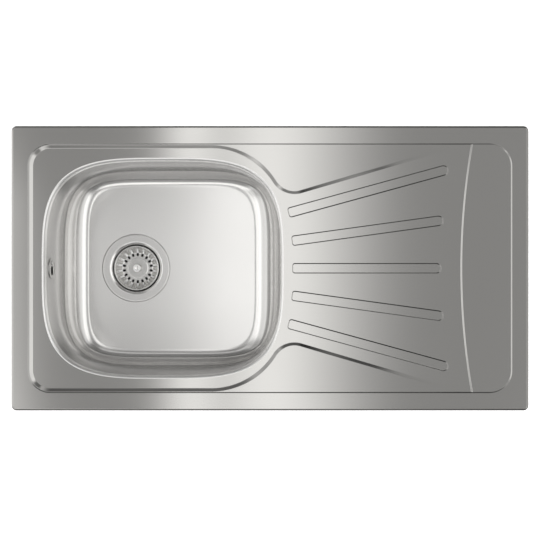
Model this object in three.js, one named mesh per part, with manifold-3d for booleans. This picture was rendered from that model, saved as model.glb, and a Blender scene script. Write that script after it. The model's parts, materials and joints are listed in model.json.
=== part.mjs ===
// Inset kitchen sink with a fan drainboard: pressed steel deck, welded bowl, basket waste,
// overflow and the eight clips that pull it down on a worktop.
// Millimetres, +Z up. The origin is the middle of the plate at the worktop's surface,
// +X runs to the drainboard end, +Y to the rear edge.
import * as THREE from "three";
import { mergeVertices } from "three/addons/utils/BufferGeometryUtils.js";
import Module from "manifold-3d";

const wasm = await Module();
wasm.setup();

// ---- Driving dimensions ----

const CLEARANCE = 0.3; // between pieces that fit one inside the other
const ROUND_STEPS = 24; // facets round a turned piece
const SMALL_STEPS = 8; // and round a shank or a screw hole
const PIPE_STEPS = 16;
const CUP_STEPS = 24;

// Deck plate, one pressing. Heights are given down from the top of the rim.
const PLATE_LENGTH = 790;
const PLATE_WIDTH = 435;
const PLATE_CORNER_RADIUS = 8;
const SHEET = 0.8;
const RIM_TOP = 5;
const RIM_BEVEL_WIDTH = 2.5;
const RIM_BEVEL_DROP = 1.5;
const EDGE_LIFT = 0.3; // the turned-down edge stops this far above the worktop
const RIM_BORDER_ENDS = 26;
const RIM_BORDER_SIDES = 27.5;
const PANEL_CORNER_RADIUS = 34;
const PANEL_STEP = 1;
const PANEL_STEP_DRAFT = 0.8; // run of a wall for each millimetre of its depth

// Recess round the bowl and its S-shaped shoulder towards the drainboard.
const RECESS_DEPTH = 3.2;
const RECESS_LEDGE = 2;
const RECESS_DRAFT = 1.9;
const SHOULDER_START = 107; // back from the bowl's edge to where the shoulder begins to turn
const SHOULDER_RADIUS = 116.5;
const SHOULDER_TURN = 57.8;
const NECK_RADIUS = 34.5;
const FAN_ANGLE = 16.4;

// Drainboard: it rises away from the bowl to a shallow curved step.
const FAN_START = 13; // from the bowl's edge to where the drainboard begins to rise
const FAN_HIGH_DEPTH = 1.9;
const END_LAND = 102.3; // flat land past the curved step, to the plate's end
const END_STEP_RADIUS = 1100;
const END_STEP_DRAFT = 1.2;
const END_STEP_SPARE = 3; // degrees that the step runs on past the panel's edge
const END_STEP_OVERRUN = 7.3; // the drainboard's rise is set by its height this far past the step
const RIB_WIDTH = 13.4;
const RIB_HEIGHT = 1.5;
const RIB_DRAFT = 0.7;
const RIB_CORNER_RADIUS = 3;
// Each rib on one side of the middle line: where it starts along the rise and across it,
// how much shorter it is than the rise, and its splay angle.
const RIBS = [
  { start: 5.2, y: 0, shortfall: 44.6, angle: 0 },
  { start: 4.4, y: 41.9, shortfall: 38.6, angle: 7.8 },
  { start: -1, y: 84.8, shortfall: 19, angle: 15.3 },
];

// Bowl, a superellipse in plan with drafted walls.
const BOWL_LENGTH = 362;
const BOWL_WIDTH = 330;
const BOWL_DEPTH = 162; // from the rim's top to the floor at the waste
const BOWL_LAND = 50; // from the plate's end to the bowl's edge
const BOWL_POWER = 3.5; // of the superellipse at the lip
const BOWL_FLOOR_POWER = 6.5; // and at the floor, whose corners are squarer
const BOWL_DRAFT = 4.6;
const BOWL_FLOOR_RADIUS = 26;
const BOWL_FLOOR_FALL = 3; // from the end by the drainboard to the end by the waste
const LIP_RADIUS = 4;
const WELD_DEPTH = 10.8; // the deck's lip reaches this far below the recess
const BOWL_STEPS = 44;
const WALL_STEPS = 4;
const FILLET_STEPS = 5;
const LIP_STEPS = 3;

// Basket waste.
const WASTE_PLACE = 118; // from the bowl's edge under the overflow
const WASTE_SEAT_RADIUS = 60;
const WASTE_SEAT_DEPTH = 2.6;
const WASTE_HOLE_RADIUS = 45;
const FLANGE_RADIUS = 57;
const CUP_SHEET = 1;
const THROAT_RADIUS = 40.5;
const THROAT_BEVEL = 4;
const CUP_DEPTH = 33;
const CUP_WALL_DRAFT = 1;
const CUP_FLOOR_RADIUS = 5;
const WELL_RADIUS = 27;
const WELL_DEPTH = 12;
const WELL_HUB_RADIUS = 9;
const WELL_OPENINGS = 6;
const WELL_SPOKE = 4;
const GASKET_BORE = 46;
const GASKET_RADIUS = 56;
const FLANGE_GASKET_THICKNESS = 1.5;
const BODY_GASKET_THICKNESS = 3;

const BODY_FLANGE_THICKNESS = 3;
const BODY_WALL = 2.5;
const BODY_BORE = 43;
const BODY_DEPTH = 48;
const BODY_CONE_DEPTH = 12;
const OUTLET_BORE = 20.5;
const OUTLET_WALL = 3;
const OUTLET_LENGTH = 26;
const BRIDGE_WIDTH = 7;
const BRIDGE_HEIGHT = 8;
const BRIDGE_HUB_RADIUS = 7.2;
const PORT_BORE = 8.5;
const PORT_WALL = 2.5;
const PORT_LENGTH = 22;
const PORT_DROP = 22; // below the underside of the body's flange

const CENTRE_SCREW_RADIUS = 3;
const CENTRE_SCREW_HEAD_RADIUS = 5.5;
const CENTRE_SCREW_HEAD_HEIGHT = 3.5;
const CENTRE_SCREW_SLOT = 1.2;

const TAIL_RADIUS = 20;
const TAIL_WALL = 1.6;
const TAIL_LENGTH = 70;
const TAIL_COLLAR_GAP = 1; // the tail's collar is this much smaller than the outlet
const WASHER_THICKNESS = 3;
const NUT_WALL = 3;
const OUTLET_NUT_HEIGHT = 17;
const NUT_GRIPS = 8;
const GRIP_WIDTH = 2.4;
const GRIP_HEIGHT = 1.2;

// Strainer basket, in the cup.
const BASKET_RADIUS = 38;
const BASKET_RIM_WIDTH = 2.4;
const BASKET_DROP = 3; // its rim lies this far below the flange
const BASKET_DEPTH = 16;
const BASKET_SHEET = 0.8;
const BASKET_FLOOR_RADIUS = 27.5;
const BASKET_STEP_RADIUS = 17.5;
const BASKET_STEP_HEIGHT = 0.8;
const FLUTES = 18;
const FLUTE_STEPS = 3;
const FLUTE_DEPTH = 1;
const SLOT_CENTRE_RADIUS = 23.6;
const SLOT_LENGTH = 4.9;
const SLOT_WIDTH = 3.8;
const SEAL_RADIUS = 32;
const SEAL_THICKNESS = 3.5;
const SEAL_CHAMFER = 1;
const STEM_RADIUS = 3;
const STEM_COLLAR_RADIUS = 5;
const STEM_HEAD_RADIUS = 6.5;
const STEM_HEAD_HEIGHT = 2.5;
const KNOB_RADIUS = 6.2;
const KNOB_HEIGHT = 12;
const KNOB_WALL = 2.5;
const KNOB_WAIST_RADIUS = 4.6;
const KNOB_FOOT_HEIGHT = 3;
const KNOB_CROWN_HEIGHT = 2;
const KNOB_CHAMFER = 0.8;
const KNOB_DIMPLE_RADIUS = 2.8;

// Overflow, high in the bowl's end wall.
const OVERFLOW_DROP = 34.8; // below the recess
const OVERFLOW_HOLE_RADIUS = 12.5;
const ROSETTE_RADIUS = 16.5;
const ROSETTE_THICKNESS = 1.6;
const ROSETTE_DISH = 0.6;
const ROSETTE_RIM_WIDTH = 4;
const ROSETTE_SCREW_Y = 8.5;
const ROSETTE_SLOTS = [
  { y: -3.5, z: 1.5, length: 14, width: 5.6 },
  { y: -3.5, z: -6, length: 12, width: 2.6 },
];
const OVERFLOW_SCREW_RADIUS = 1.9;
const OVERFLOW_SCREW_HEAD_RADIUS = 3.2;
const OVERFLOW_SCREW_HEAD_HEIGHT = 1.6;
const SCREW_SEAT_GAP = 0.05;
const GASKET_GAP = 0.1; // the gasket is flat and the wall behind it is bent a little
const OVERFLOW_GASKET_THICKNESS = 2;
const ELBOW_FLANGE_RADIUS = 18;
const ELBOW_FLANGE_THICKNESS = 2.5;
const ELBOW_RADIUS = 14.5;
const ELBOW_DEPTH = 17;
const ELBOW_WALL = 2;
const ELBOW_LUG_WIDTH = 7;
const ELBOW_LUG_DEPTH = 9; // from the elbow's face to the blind end of its screw hole
const ELBOW_TAIL_LENGTH = 34;
const ELBOW_TAIL_PLACE = 0.66; // share of its depth at which the tail leaves it
const ELBOW_SOCKET_DEPTH = 10;
const PIPE_INSERTION = 8;
const PIPE_RADIUS = 8;
const PIPE_WALL = 1.5;
const PIPE_BEND_RADIUS = 34;
const PIPE_SIDES = 10;
const PIPE_BEND_STEPS = 5;
const PIPE_NUT_HEIGHT = 14;

// Rim seal, clip rails and clips. Places are given in from the edge of the plate.
const SEAL_STRIP_INSET = 3;
const SEAL_STRIP_WIDTH = 8;
const RAIL_INSET = 13.5;
const RAIL_SHEET = 0.8;
const RAIL_FLANGE = 10.5;
const RAIL_DROP = 14;
const RAIL_END_GAP = 62;
const RAIL_SLOT_DROP = 6.5; // from the rim's underside to the slot
const RAIL_SLOT_HEIGHT = 4.2;
const CLIP_SCREW_INSET = 23.5;
const CLIP_SHEET = 1.8;
const CLIP_BRACKET_WIDTH = 18;
const CLIP_HOOK_DROP = 5;
const CLIP_TAB_Z = -17;
const CLIP_TAB_REACH = 8;
const CLIP_SCREW_RADIUS = 3;
const CLIP_SCREW_TOP = -13.5;
const CLIP_SCREW_LENGTH = 34;
const CLIP_SCREW_HEAD_RADIUS = 6;
const CLIP_SCREW_HEAD_HEIGHT = 4;
const CLAW_WIDTH = 12;
const CLAW_REACH = 25;
const CLAW_HEEL = 8;
const CLAW_HEEL_HEIGHT = 5;
const CLAW_TIP_HEIGHT = 7.5;
const CLAW_TOOTH = 3;
const LONG_SIDE_CLIPS = [-260, 0, 260]; // along the edge, from its middle
const LEFT_CLIP_Y = -90;
const RIGHT_CLIP_Y = 0;

// Damping pads glued under the steel.
const PAD_GLUE = 0.3;
const PAD_THICKNESS = 3;
const BOWL_PAD = { start: 60, length: 96, width: 170 }; // its middle, from the bowl's
const FAN_PAD = { start: 120, length: 190, width: 150 }; // its middle, along the rise
const PAD_CORNER_RADIUS = 10;

// ---- Levels and places worked out from them ----

const DEG = Math.PI / 180;
const RIM_UNDERSIDE = RIM_TOP - SHEET;
const PANEL_Z = RIM_TOP - PANEL_STEP;
const RECESS_Z = RIM_TOP - RECESS_DEPTH;
const FAN_HIGH_Z = RIM_TOP - FAN_HIGH_DEPTH;
const WELD_Z = RECESS_Z - WELD_DEPTH;
const BOWL_X = -PLATE_LENGTH / 2 + BOWL_LAND + BOWL_LENGTH / 2;
const BOWL_EDGE_X = BOWL_X + BOWL_LENGTH / 2; // towards the drainboard
const WASTE_X = BOWL_X - BOWL_LENGTH / 2 + WASTE_PLACE;
const SHOULDER_X = BOWL_EDGE_X - SHOULDER_START;
const FAN_LOW_X = BOWL_EDGE_X + FAN_START;
const END_STEP_X = PLATE_LENGTH / 2 - END_LAND;
const FAN_HIGH_X = END_STEP_X + END_STEP_OVERRUN;
const FAN_RUN = FAN_HIGH_X - FAN_LOW_X;
const PANEL_HALF_X = PLATE_LENGTH / 2 - RIM_BORDER_ENDS;
const PANEL_HALF_Y = PLATE_WIDTH / 2 - RIM_BORDER_SIDES;
const ABOVE = RIM_TOP + 2;
const BELOW = -60;

const BOWL_SLOPE = Math.tan(BOWL_DRAFT * DEG);
const LIP_CENTRE_Z = RECESS_Z - LIP_RADIUS;
const WALL_TOP_Z = LIP_CENTRE_Z + LIP_RADIUS * Math.sin(BOWL_DRAFT * DEG);
const WASTE_Z = RIM_TOP - BOWL_DEPTH;
const FILLET_CENTRE_Z = WASTE_Z + BOWL_FLOOR_RADIUS;
const FILLET_START_Z = FILLET_CENTRE_Z - BOWL_FLOOR_RADIUS * Math.sin(BOWL_DRAFT * DEG);
const FILLET_CENTRE_INSET =
  (WALL_TOP_Z - FILLET_START_Z) * BOWL_SLOPE + BOWL_FLOOR_RADIUS * Math.cos(BOWL_DRAFT * DEG);
const SEAT_Z = WASTE_Z - WASTE_SEAT_DEPTH;

const FLANGE_Z = SEAT_Z + FLANGE_GASKET_THICKNESS; // underside of the flange
const FLANGE_TOP = FLANGE_Z + CUP_SHEET;
const CUP_SEAT_Z = FLANGE_TOP - CUP_DEPTH;
const WELL_Z = CUP_SEAT_Z - WELL_DEPTH;
const BODY_TOP = SEAT_Z - SHEET - BODY_GASKET_THICKNESS;
const BODY_BOTTOM = BODY_TOP - BODY_DEPTH;
const OUTLET_TOP = BODY_BOTTOM - BODY_CONE_DEPTH;
const OUTLET_END = OUTLET_TOP - OUTLET_LENGTH;
const BRIDGE_TOP = WELL_Z - CUP_SHEET - CLEARANCE;
const PORT_Z = BODY_TOP - BODY_FLANGE_THICKNESS - PORT_DROP;
const BASKET_TOP = FLANGE_TOP - BASKET_DROP;
const BASKET_FLOOR_Z = BASKET_TOP - BASKET_DEPTH;

const STEEL = { color: 0xb9b7b2, roughness: 0.32, metalness: 1 };
const POLISHED = { color: 0xd2d1cd, roughness: 0.14, metalness: 1 };
const ZINC = { color: 0x9fa3a6, roughness: 0.42, metalness: 1 };
const PLASTIC = { color: 0x2b2c2e, roughness: 0.55, metalness: 0 };
const PALE_PLASTIC = { color: 0xd9d9d5, roughness: 0.5, metalness: 0 };
const RUBBER = { color: 0x191919, roughness: 0.85, metalness: 0 };
const BITUMEN = { color: 0x3c3d3f, roughness: 0.9, metalness: 0 };

// ---- Shape tools ----

// A closed geometry as a manifold-3d solid.
function solid(geometry) {
  const bare = geometry.index ? geometry.toNonIndexed() : geometry.clone();
  bare.deleteAttribute("normal");
  bare.deleteAttribute("uv");
  const merged = mergeVertices(bare, 1e-4);
  return new wasm.Manifold(
    new wasm.Mesh({
      numProp: 3,
      vertProperties: new Float32Array(merged.attributes.position.array),
      triVerts: new Uint32Array(merged.index.array),
    }),
  );
}

// A solid, or a geometry, as the geometry of a mesh.
function geometryOf(shape) {
  if (shape.isBufferGeometry) return shape;
  const mesh = shape.getMesh();
  const geometry = new THREE.BufferGeometry();
  geometry.setAttribute("position", new THREE.BufferAttribute(mesh.vertProperties, 3));
  geometry.setIndex(new THREE.BufferAttribute(mesh.triVerts, 1));
  const flat = geometry.toNonIndexed();
  flat.computeVertexNormals();
  return flat;
}

function named(name, shape, look) {
  const mesh = new THREE.Mesh(geometryOf(shape), new THREE.MeshStandardMaterial(look));
  mesh.name = name;
  return mesh;
}

function union(shapes) {
  return shapes.reduce((whole, next) => whole.add(next));
}

function cutAll(body, cutters) {
  return cutters.reduce((left, cutter) => left.subtract(cutter), body);
}

// Triangles that close a flat ring of points, by index into it.
function capOf(ring) {
  const flat = ring.map((p) => new THREE.Vector2(p.x, p.y));
  return THREE.ShapeUtils.triangulateShape(flat, []);
}

// Joins rings of points, each counter-clockwise seen from above, listed from the bottom up.
function loft(rings) {
  const count = rings[0].length;
  const positions = rings.flat().flatMap((p) => [p.x, p.y, p.z]);
  const index = [];
  for (let k = 0; k + 1 < rings.length; k += 1) pushBand(index, k * count, (k + 1) * count, count);
  const top = (rings.length - 1) * count;
  for (const [a, b, c] of capOf(rings[0])) index.push(a, c, b);
  for (const [a, b, c] of capOf(rings.at(-1))) index.push(top + a, top + b, top + c);
  return indexed(positions, index);
}

// Joins rings end to end and the last to the first, as a hollow shell with an opening each end.
function closedLoft(rings) {
  const count = rings[0].length;
  const positions = rings.flat().flatMap((p) => [p.x, p.y, p.z]);
  const index = [];
  for (let k = 0; k < rings.length; k += 1) {
    pushBand(index, k * count, ((k + 1) % rings.length) * count, count);
  }
  return indexed(positions, index);
}

function pushBand(index, low, high, count) {
  for (let i = 0; i < count; i += 1) {
    const j = (i + 1) % count;
    index.push(low + i, low + j, high + j, low + i, high + j, high + i);
  }
}

function indexed(positions, index) {
  const geometry = new THREE.BufferGeometry();
  geometry.setAttribute("position", new THREE.Float32BufferAttribute(positions, 3));
  geometry.setIndex(index);
  return solid(geometry);
}

// A profile of [radius, z] points, closed on itself, turned about +Z.
function revolve(profile, segments = ROUND_STEPS) {
  const points = profile.map(([r, z]) => new THREE.Vector2(r, z));
  if (THREE.ShapeUtils.area(points) > 0) points.reverse();
  points.push(points[0].clone());
  const lathe = new THREE.LatheGeometry(points.reverse(), segments);
  return solid(lathe.rotateX(Math.PI / 2));
}

function disc(radius, zLow, zHigh, segments = ROUND_STEPS) {
  const cylinder = new THREE.CylinderGeometry(radius, radius, zHigh - zLow, segments);
  return solid(cylinder.rotateX(Math.PI / 2).translate(0, 0, (zLow + zHigh) / 2));
}

function ringSolid(bore, radius, zLow, zHigh) {
  const profile = [
    [bore, zLow],
    [radius, zLow],
    [radius, zHigh],
    [bore, zHigh],
  ];
  return revolve(profile);
}

function box(xLow, xHigh, yLow, yHigh, zLow, zHigh) {
  const block = new THREE.BoxGeometry(xHigh - xLow, yHigh - yLow, zHigh - zLow);
  return solid(block.translate((xLow + xHigh) / 2, (yLow + yHigh) / 2, (zLow + zHigh) / 2));
}

// An outline of [x, z] points, extruded from yLow to yHigh.
function sweepY(outline, yLow, yHigh) {
  const shape = new THREE.Shape(outline.map(([x, z]) => new THREE.Vector2(x, z)));
  const block = new THREE.ExtrudeGeometry(shape, { depth: yHigh - yLow, bevelEnabled: false });
  return solid(block.rotateX(Math.PI / 2).translate(0, yHigh, 0));
}

function placed(shape, matrix) {
  const mesh = shape.getMesh();
  const geometry = new THREE.BufferGeometry();
  geometry.setAttribute("position", new THREE.BufferAttribute(mesh.vertProperties, 3));
  geometry.setIndex(new THREE.BufferAttribute(mesh.triVerts, 1));
  return solid(geometry.applyMatrix4(matrix));
}

function turned(shape, angle) {
  return placed(shape, new THREE.Matrix4().makeRotationZ(angle));
}

function moved(shape, x, y, z) {
  return placed(shape, new THREE.Matrix4().makeTranslation(x, y, z));
}

// ---- Outlines whose points carry the way out, so that a drafted wall can follow them ----

function arc(cx, cy, radius, from, to, steps) {
  const side = Math.sign(to - from);
  return Array.from({ length: steps + 1 }, (_, i) => {
    const angle = (from + ((to - from) * i) / steps) * DEG;
    const out = new THREE.Vector2(Math.cos(angle), Math.sin(angle));
    return { x: cx + radius * out.x, y: cy + radius * out.y, nx: side * out.x, ny: side * out.y };
  });
}

// A sharp corner between two edges, given the way out of each in degrees.
function corner(x, y, firstOut, nextOut) {
  const first = new THREE.Vector2(Math.cos(firstOut * DEG), Math.sin(firstOut * DEG));
  const next = new THREE.Vector2(Math.cos(nextOut * DEG), Math.sin(nextOut * DEG));
  const mitre = first.clone().add(next).divideScalar(1 + first.dot(next));
  return { x, y, nx: mitre.x, ny: mitre.y };
}

function roundedRectangle(halfX, halfY, radius, steps) {
  const cx = halfX - radius;
  const cy = halfY - radius;
  return [
    ...arc(cx, cy, radius, 0, 90, steps),
    ...arc(-cx, cy, radius, 90, 180, steps),
    ...arc(-cx, -cy, radius, 180, 270, steps),
    ...arc(cx, -cy, radius, 270, 360, steps),
  ];
}

function ringAt(outline, z, outset) {
  return outline.map((p) => new THREE.Vector3(p.x + p.nx * outset, p.y + p.ny * outset, z));
}

// A prism whose wall leans out by draft for each millimetre up, and is the outline at height z.
function draftedPrism(outline, z, draft, outset, zLow, zHigh) {
  const rings = [zLow, zHigh].map((level) => ringAt(outline, level, outset + (level - z) * draft));
  return loft(rings);
}

// How far out a wall of this draft moves when its sheet grows by the given thickness.
function drafted(thickness, draft) {
  return thickness * Math.hypot(1, draft);
}

// ---- Deck plate ----

function plateBlock(inset, zLow) {
  const outline = roundedRectangle(PLATE_LENGTH / 2, PLATE_WIDTH / 2, PLATE_CORNER_RADIUS, 3);
  const slope = RIM_BEVEL_DROP / RIM_BEVEL_WIDTH;
  const bevelStart = RIM_TOP - RIM_BEVEL_DROP - inset * Math.hypot(1, slope);
  const top = RIM_TOP - inset;
  return loft([
    ringAt(outline, zLow, -inset),
    ringAt(outline, bevelStart + slope * inset, -inset),
    ringAt(outline, top, -(top - bevelStart) / slope),
  ]);
}

// Everything above a line in the XZ plane, which runs level past its first point.
function above(points, drop) {
  const far = PLATE_LENGTH;
  const line = [[-far, points[0][1]], ...points];
  const [[x1, z1], [x2, z2]] = points.slice(-2);
  line.push([far, z2 + ((z2 - z1) / (x2 - x1)) * (far - x2)]);
  const shifted = line.map(([x, z]) => [x, z - drop]);
  return sweepY([...shifted, [far, ABOVE * 2], [-far, ABOVE * 2]], -PLATE_WIDTH, PLATE_WIDTH);
}

const FAN_LINE = [
  [FAN_LOW_X, RECESS_Z],
  [FAN_HIGH_X, FAN_HIGH_Z],
];
const SHOULDER_LINE = [
  [SHOULDER_X, PANEL_Z],
  [FAN_HIGH_X, FAN_HIGH_Z],
];

function recessOutline() {
  const halfX = PANEL_HALF_X - RECESS_LEDGE;
  const halfY = PANEL_HALF_Y - RECESS_LEDGE;
  const radius = PANEL_CORNER_RADIUS - RECESS_LEDGE;
  const shoulderY = halfY - SHOULDER_RADIUS;
  const neckAngle = 90 - SHOULDER_TURN;
  const neckX = SHOULDER_X + (SHOULDER_RADIUS + NECK_RADIUS) * Math.cos(neckAngle * DEG);
  const neckY = shoulderY + (SHOULDER_RADIUS + NECK_RADIUS) * Math.sin(neckAngle * DEG);
  const fanX = neckX + NECK_RADIUS * Math.sin(FAN_ANGLE * DEG);
  const fanY = neckY - NECK_RADIUS * Math.cos(FAN_ANGLE * DEG);
  const endX = FAN_HIGH_X + 2 * RIM_BORDER_ENDS;
  const endY = fanY + (endX - fanX) * Math.tan(FAN_ANGLE * DEG);
  const rear = [
    corner(endX, endY, 0, 90 + FAN_ANGLE),
    ...arc(neckX, neckY, NECK_RADIUS, -90 + FAN_ANGLE, -180 + neckAngle, 6),
    ...arc(SHOULDER_X, shoulderY, SHOULDER_RADIUS, neckAngle, 90, 6),
    ...arc(-halfX + radius, halfY - radius, radius, 90, 180, 5),
  ];
  const front = rear.map((p) => ({ ...p, y: -p.y, ny: -p.ny })).reverse();
  return [...rear, ...front];
}

// Plan of what lies on the bowl's side of the curved step at the drainboard's end.
function endStepOutline() {
  const centreX = END_STEP_X + END_STEP_RADIUS;
  const sweep = Math.asin(PANEL_HALF_Y / END_STEP_RADIUS) / DEG + END_STEP_SPARE;
  const bulge = arc(centreX, 0, END_STEP_RADIUS, 180 + sweep, 180 - sweep, 12);
  const [low, high] = [bulge[0], bulge.at(-1)];
  const farX = -PLATE_LENGTH;
  return [
    { ...low, ...corner(low.x, low.y, -90, sweep) },
    ...bulge.slice(1, -1),
    { ...high, ...corner(high.x, high.y, -sweep, 90) },
    corner(farX, high.y, 90, 180),
    corner(farX, low.y, 180, 270),
  ];
}

function ribOutline({ shortfall }) {
  const half = RIB_WIDTH / 2;
  const r = RIB_CORNER_RADIUS;
  return [
    ...arc(FAN_RUN - shortfall - half, 0, half, -90, 90, 5),
    ...arc(r, half - r, r, 90, 180, 1),
    ...arc(r, -half + r, r, 180, 270, 1),
  ];
}

// The ribs over a level deck at z = 0, sheared up to the drainboard's rise.
function ribs(drop) {
  const outset = -drafted(drop, RIB_DRAFT);
  const bars = RIBS.flatMap((rib) => {
    const outline = ribOutline(rib);
    const bar = draftedPrism(outline, RIB_HEIGHT, -RIB_DRAFT, outset, -2 * SHEET, RIB_HEIGHT - drop);
    const rear = moved(turned(bar, rib.angle * DEG), FAN_LOW_X + rib.start, rib.y, 0);
    const front = moved(turned(bar, -rib.angle * DEG), FAN_LOW_X + rib.start, -rib.y, 0);
    return rib.y === 0 ? [rear] : [rear, front];
  });
  const rise = (FAN_HIGH_Z - RECESS_Z) / FAN_RUN;
  const shear = new THREE.Matrix4();
  shear.set(1, 0, 0, 0, 0, 1, 0, 0, rise, 0, 1, RECESS_Z - rise * FAN_LOW_X, 0, 0, 0, 1);
  return placed(union(bars), shear);
}

// Plan of the bowl, drawn in by inset: squarer with depth, and raised towards the drainboard at the floor.
function bowlRing(z, inset, wastewards = 0) {
  const depth = Math.max(0, (WELD_Z - z) / (WELD_Z - WASTE_Z)) ** 4;
  const power = BOWL_POWER + (BOWL_FLOOR_POWER - BOWL_POWER) * depth;
  const floorLength = BOWL_LENGTH - 2 * FILLET_CENTRE_INSET;
  return Array.from({ length: BOWL_STEPS }, (_, i) => {
    const angle = (2 * Math.PI * (i + 0.5)) / BOWL_STEPS;
    const [c, s] = [Math.cos(angle), Math.sin(angle)];
    const x = (BOWL_LENGTH / 2 - inset) * Math.sign(c) * Math.abs(c) ** (2 / power);
    const y = (BOWL_WIDTH / 2 - inset) * Math.sign(s) * Math.abs(s) ** (2 / power);
    const rise = BOWL_FLOOR_FALL * depth * (0.5 + x / floorLength);
    const round = new THREE.Vector3(WASTE_X + WASTE_SEAT_RADIUS * c, WASTE_SEAT_RADIUS * s, z);
    return new THREE.Vector3(BOWL_X + x, y, z + rise).lerp(round, wastewards);
  });
}

function wasteRing(z, radius) {
  return Array.from({ length: BOWL_STEPS }, (_, i) => {
    const angle = (2 * Math.PI * (i + 0.5)) / BOWL_STEPS;
    return new THREE.Vector3(WASTE_X + radius * Math.cos(angle), radius * Math.sin(angle), z);
  });
}

function wallInset(z) {
  return (WALL_TOP_Z - z) * BOWL_SLOPE;
}

// The hole that the bowl's lip leaves in the deck, grown by the sheet for its underside.
function bowlOpening(sheet, zLow) {
  const centreInset = -LIP_RADIUS * Math.cos(BOWL_DRAFT * DEG);
  const radius = LIP_RADIUS - sheet;
  const lip = Array.from({ length: LIP_STEPS + 1 }, (_, k) => {
    const angle = ((90 - BOWL_DRAFT) * (LIP_STEPS - k) * DEG) / LIP_STEPS;
    return bowlRing(LIP_CENTRE_Z + radius * Math.cos(angle), centreInset + radius * Math.sin(angle));
  });
  return loft([bowlRing(zLow, wallInset(zLow) - sheet), ...lip, bowlRing(ABOVE, centreInset)]);
}

// The room above the deck inside its rim, grown by the sheet for its underside.
function pressings(sheet) {
  const panel = roundedRectangle(PANEL_HALF_X, PANEL_HALF_Y, PANEL_CORNER_RADIUS, 5);
  const low = RECESS_Z - 4;
  const inPanel = draftedPrism(
    panel, RIM_TOP, PANEL_STEP_DRAFT, drafted(sheet, PANEL_STEP_DRAFT), low, ABOVE,
  );
  const inEnd = draftedPrism(
    endStepOutline(), PANEL_Z, END_STEP_DRAFT, drafted(sheet, END_STEP_DRAFT), low, ABOVE,
  );
  const inRecess = draftedPrism(
    recessOutline(), PANEL_Z, RECESS_DRAFT, drafted(sheet, RECESS_DRAFT), low, ABOVE,
  );
  const beforeStep = inPanel.intersect(inEnd);
  return union([
    inPanel.intersect(box(-PLATE_LENGTH, PLATE_LENGTH, -PLATE_WIDTH, PLATE_WIDTH, PANEL_Z - sheet, ABOVE)),
    beforeStep.intersect(above(SHOULDER_LINE, sheet)),
    beforeStep.intersect(inRecess).intersect(above(FAN_LINE, sheet)),
  ]);
}

function deckPlate() {
  const core = roundedRectangle(PANEL_HALF_X, PANEL_HALF_Y, PANEL_CORNER_RADIUS, 1);
  const skin = plateBlock(0, EDGE_LIFT)
    .add(draftedPrism(core, RIM_TOP, 0, 0, WELD_Z, RIM_UNDERSIDE - PANEL_STEP))
    .subtract(pressings(0))
    .add(ribs(0))
    .subtract(bowlOpening(0, WELD_Z - 1));
  const hollow = plateBlock(SHEET, BELOW)
    .subtract(pressings(SHEET))
    .add(ribs(SHEET))
    .subtract(bowlOpening(SHEET, BELOW - 1));
  return skin.subtract(hollow);
}

// ---- Bowl ----

// Rings of the bowl's inside, or of its outside when grown by the sheet, from the top down.
function bowlRings(sheet) {
  const radius = BOWL_FLOOR_RADIUS + sheet;
  const fillet = Array.from({ length: FILLET_STEPS + 1 }, (_, k) => {
    const angle = (BOWL_DRAFT + ((90 - BOWL_DRAFT) * k) / FILLET_STEPS) * DEG;
    const inset = FILLET_CENTRE_INSET - radius * Math.cos(angle);
    return bowlRing(FILLET_CENTRE_Z - radius * Math.sin(angle), inset);
  });
  const wall = Array.from({ length: WALL_STEPS }, (_, k) => {
    const z = WELD_Z + ((FILLET_START_Z - WELD_Z) * k) / WALL_STEPS;
    return bowlRing(z, wallInset(z) - sheet);
  });
  const halfway = bowlRing(WASTE_Z - sheet, FILLET_CENTRE_INSET, 0.5);
  return [...wall, ...fillet, halfway, wasteRing(WASTE_Z - sheet, WASTE_SEAT_RADIUS + sheet)];
}

function overflowFrame() {
  const z = RECESS_Z - OVERFLOW_DROP;
  const x = BOWL_X - BOWL_LENGTH / 2 + wallInset(z);
  const frame = new THREE.Matrix4().makeRotationY((90 - BOWL_DRAFT) * DEG);
  return frame.setPosition(x, 0, z);
}

function bowl() {
  const inside = bowlRings(0);
  const outside = bowlRings(SHEET);
  const shell = closedLoft([
    ...outside.toReversed(),
    ...inside,
    wasteRing(SEAT_Z, WASTE_SEAT_RADIUS - SHEET),
    wasteRing(SEAT_Z, WASTE_HOLE_RADIUS),
    wasteRing(SEAT_Z - SHEET, WASTE_HOLE_RADIUS),
    wasteRing(SEAT_Z - SHEET, WASTE_SEAT_RADIUS),
  ]);
  const hole = disc(OVERFLOW_HOLE_RADIUS, -ELBOW_DEPTH, ELBOW_DEPTH);
  return shell.subtract(placed(hole, overflowFrame()));
}

function pad({ length, width }, x, zLow, zHigh) {
  const outline = roundedRectangle(length / 2, width / 2, PAD_CORNER_RADIUS, 3);
  return moved(draftedPrism(outline, 0, 0, 0, zLow, zHigh), x, 0, 0);
}

function bowlPad() {
  const outer = (grown) => loft(bowlRings(SHEET + grown).toReversed());
  const layer = outer(PAD_GLUE + PAD_THICKNESS).subtract(outer(PAD_GLUE));
  const x = BOWL_X + BOWL_PAD.start;
  return layer.intersect(pad(BOWL_PAD, x, WASTE_Z - 3 * PAD_THICKNESS, WASTE_Z + BOWL_FLOOR_FALL));
}

function fanPad() {
  const face = SHEET + PAD_GLUE;
  const layer = above(FAN_LINE, face + PAD_THICKNESS).subtract(above(FAN_LINE, face));
  return pad(FAN_PAD, FAN_LOW_X + FAN_PAD.start, RECESS_Z - 3 * PAD_THICKNESS, RIM_TOP).intersect(layer);
}

// ---- Waste ----

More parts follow.
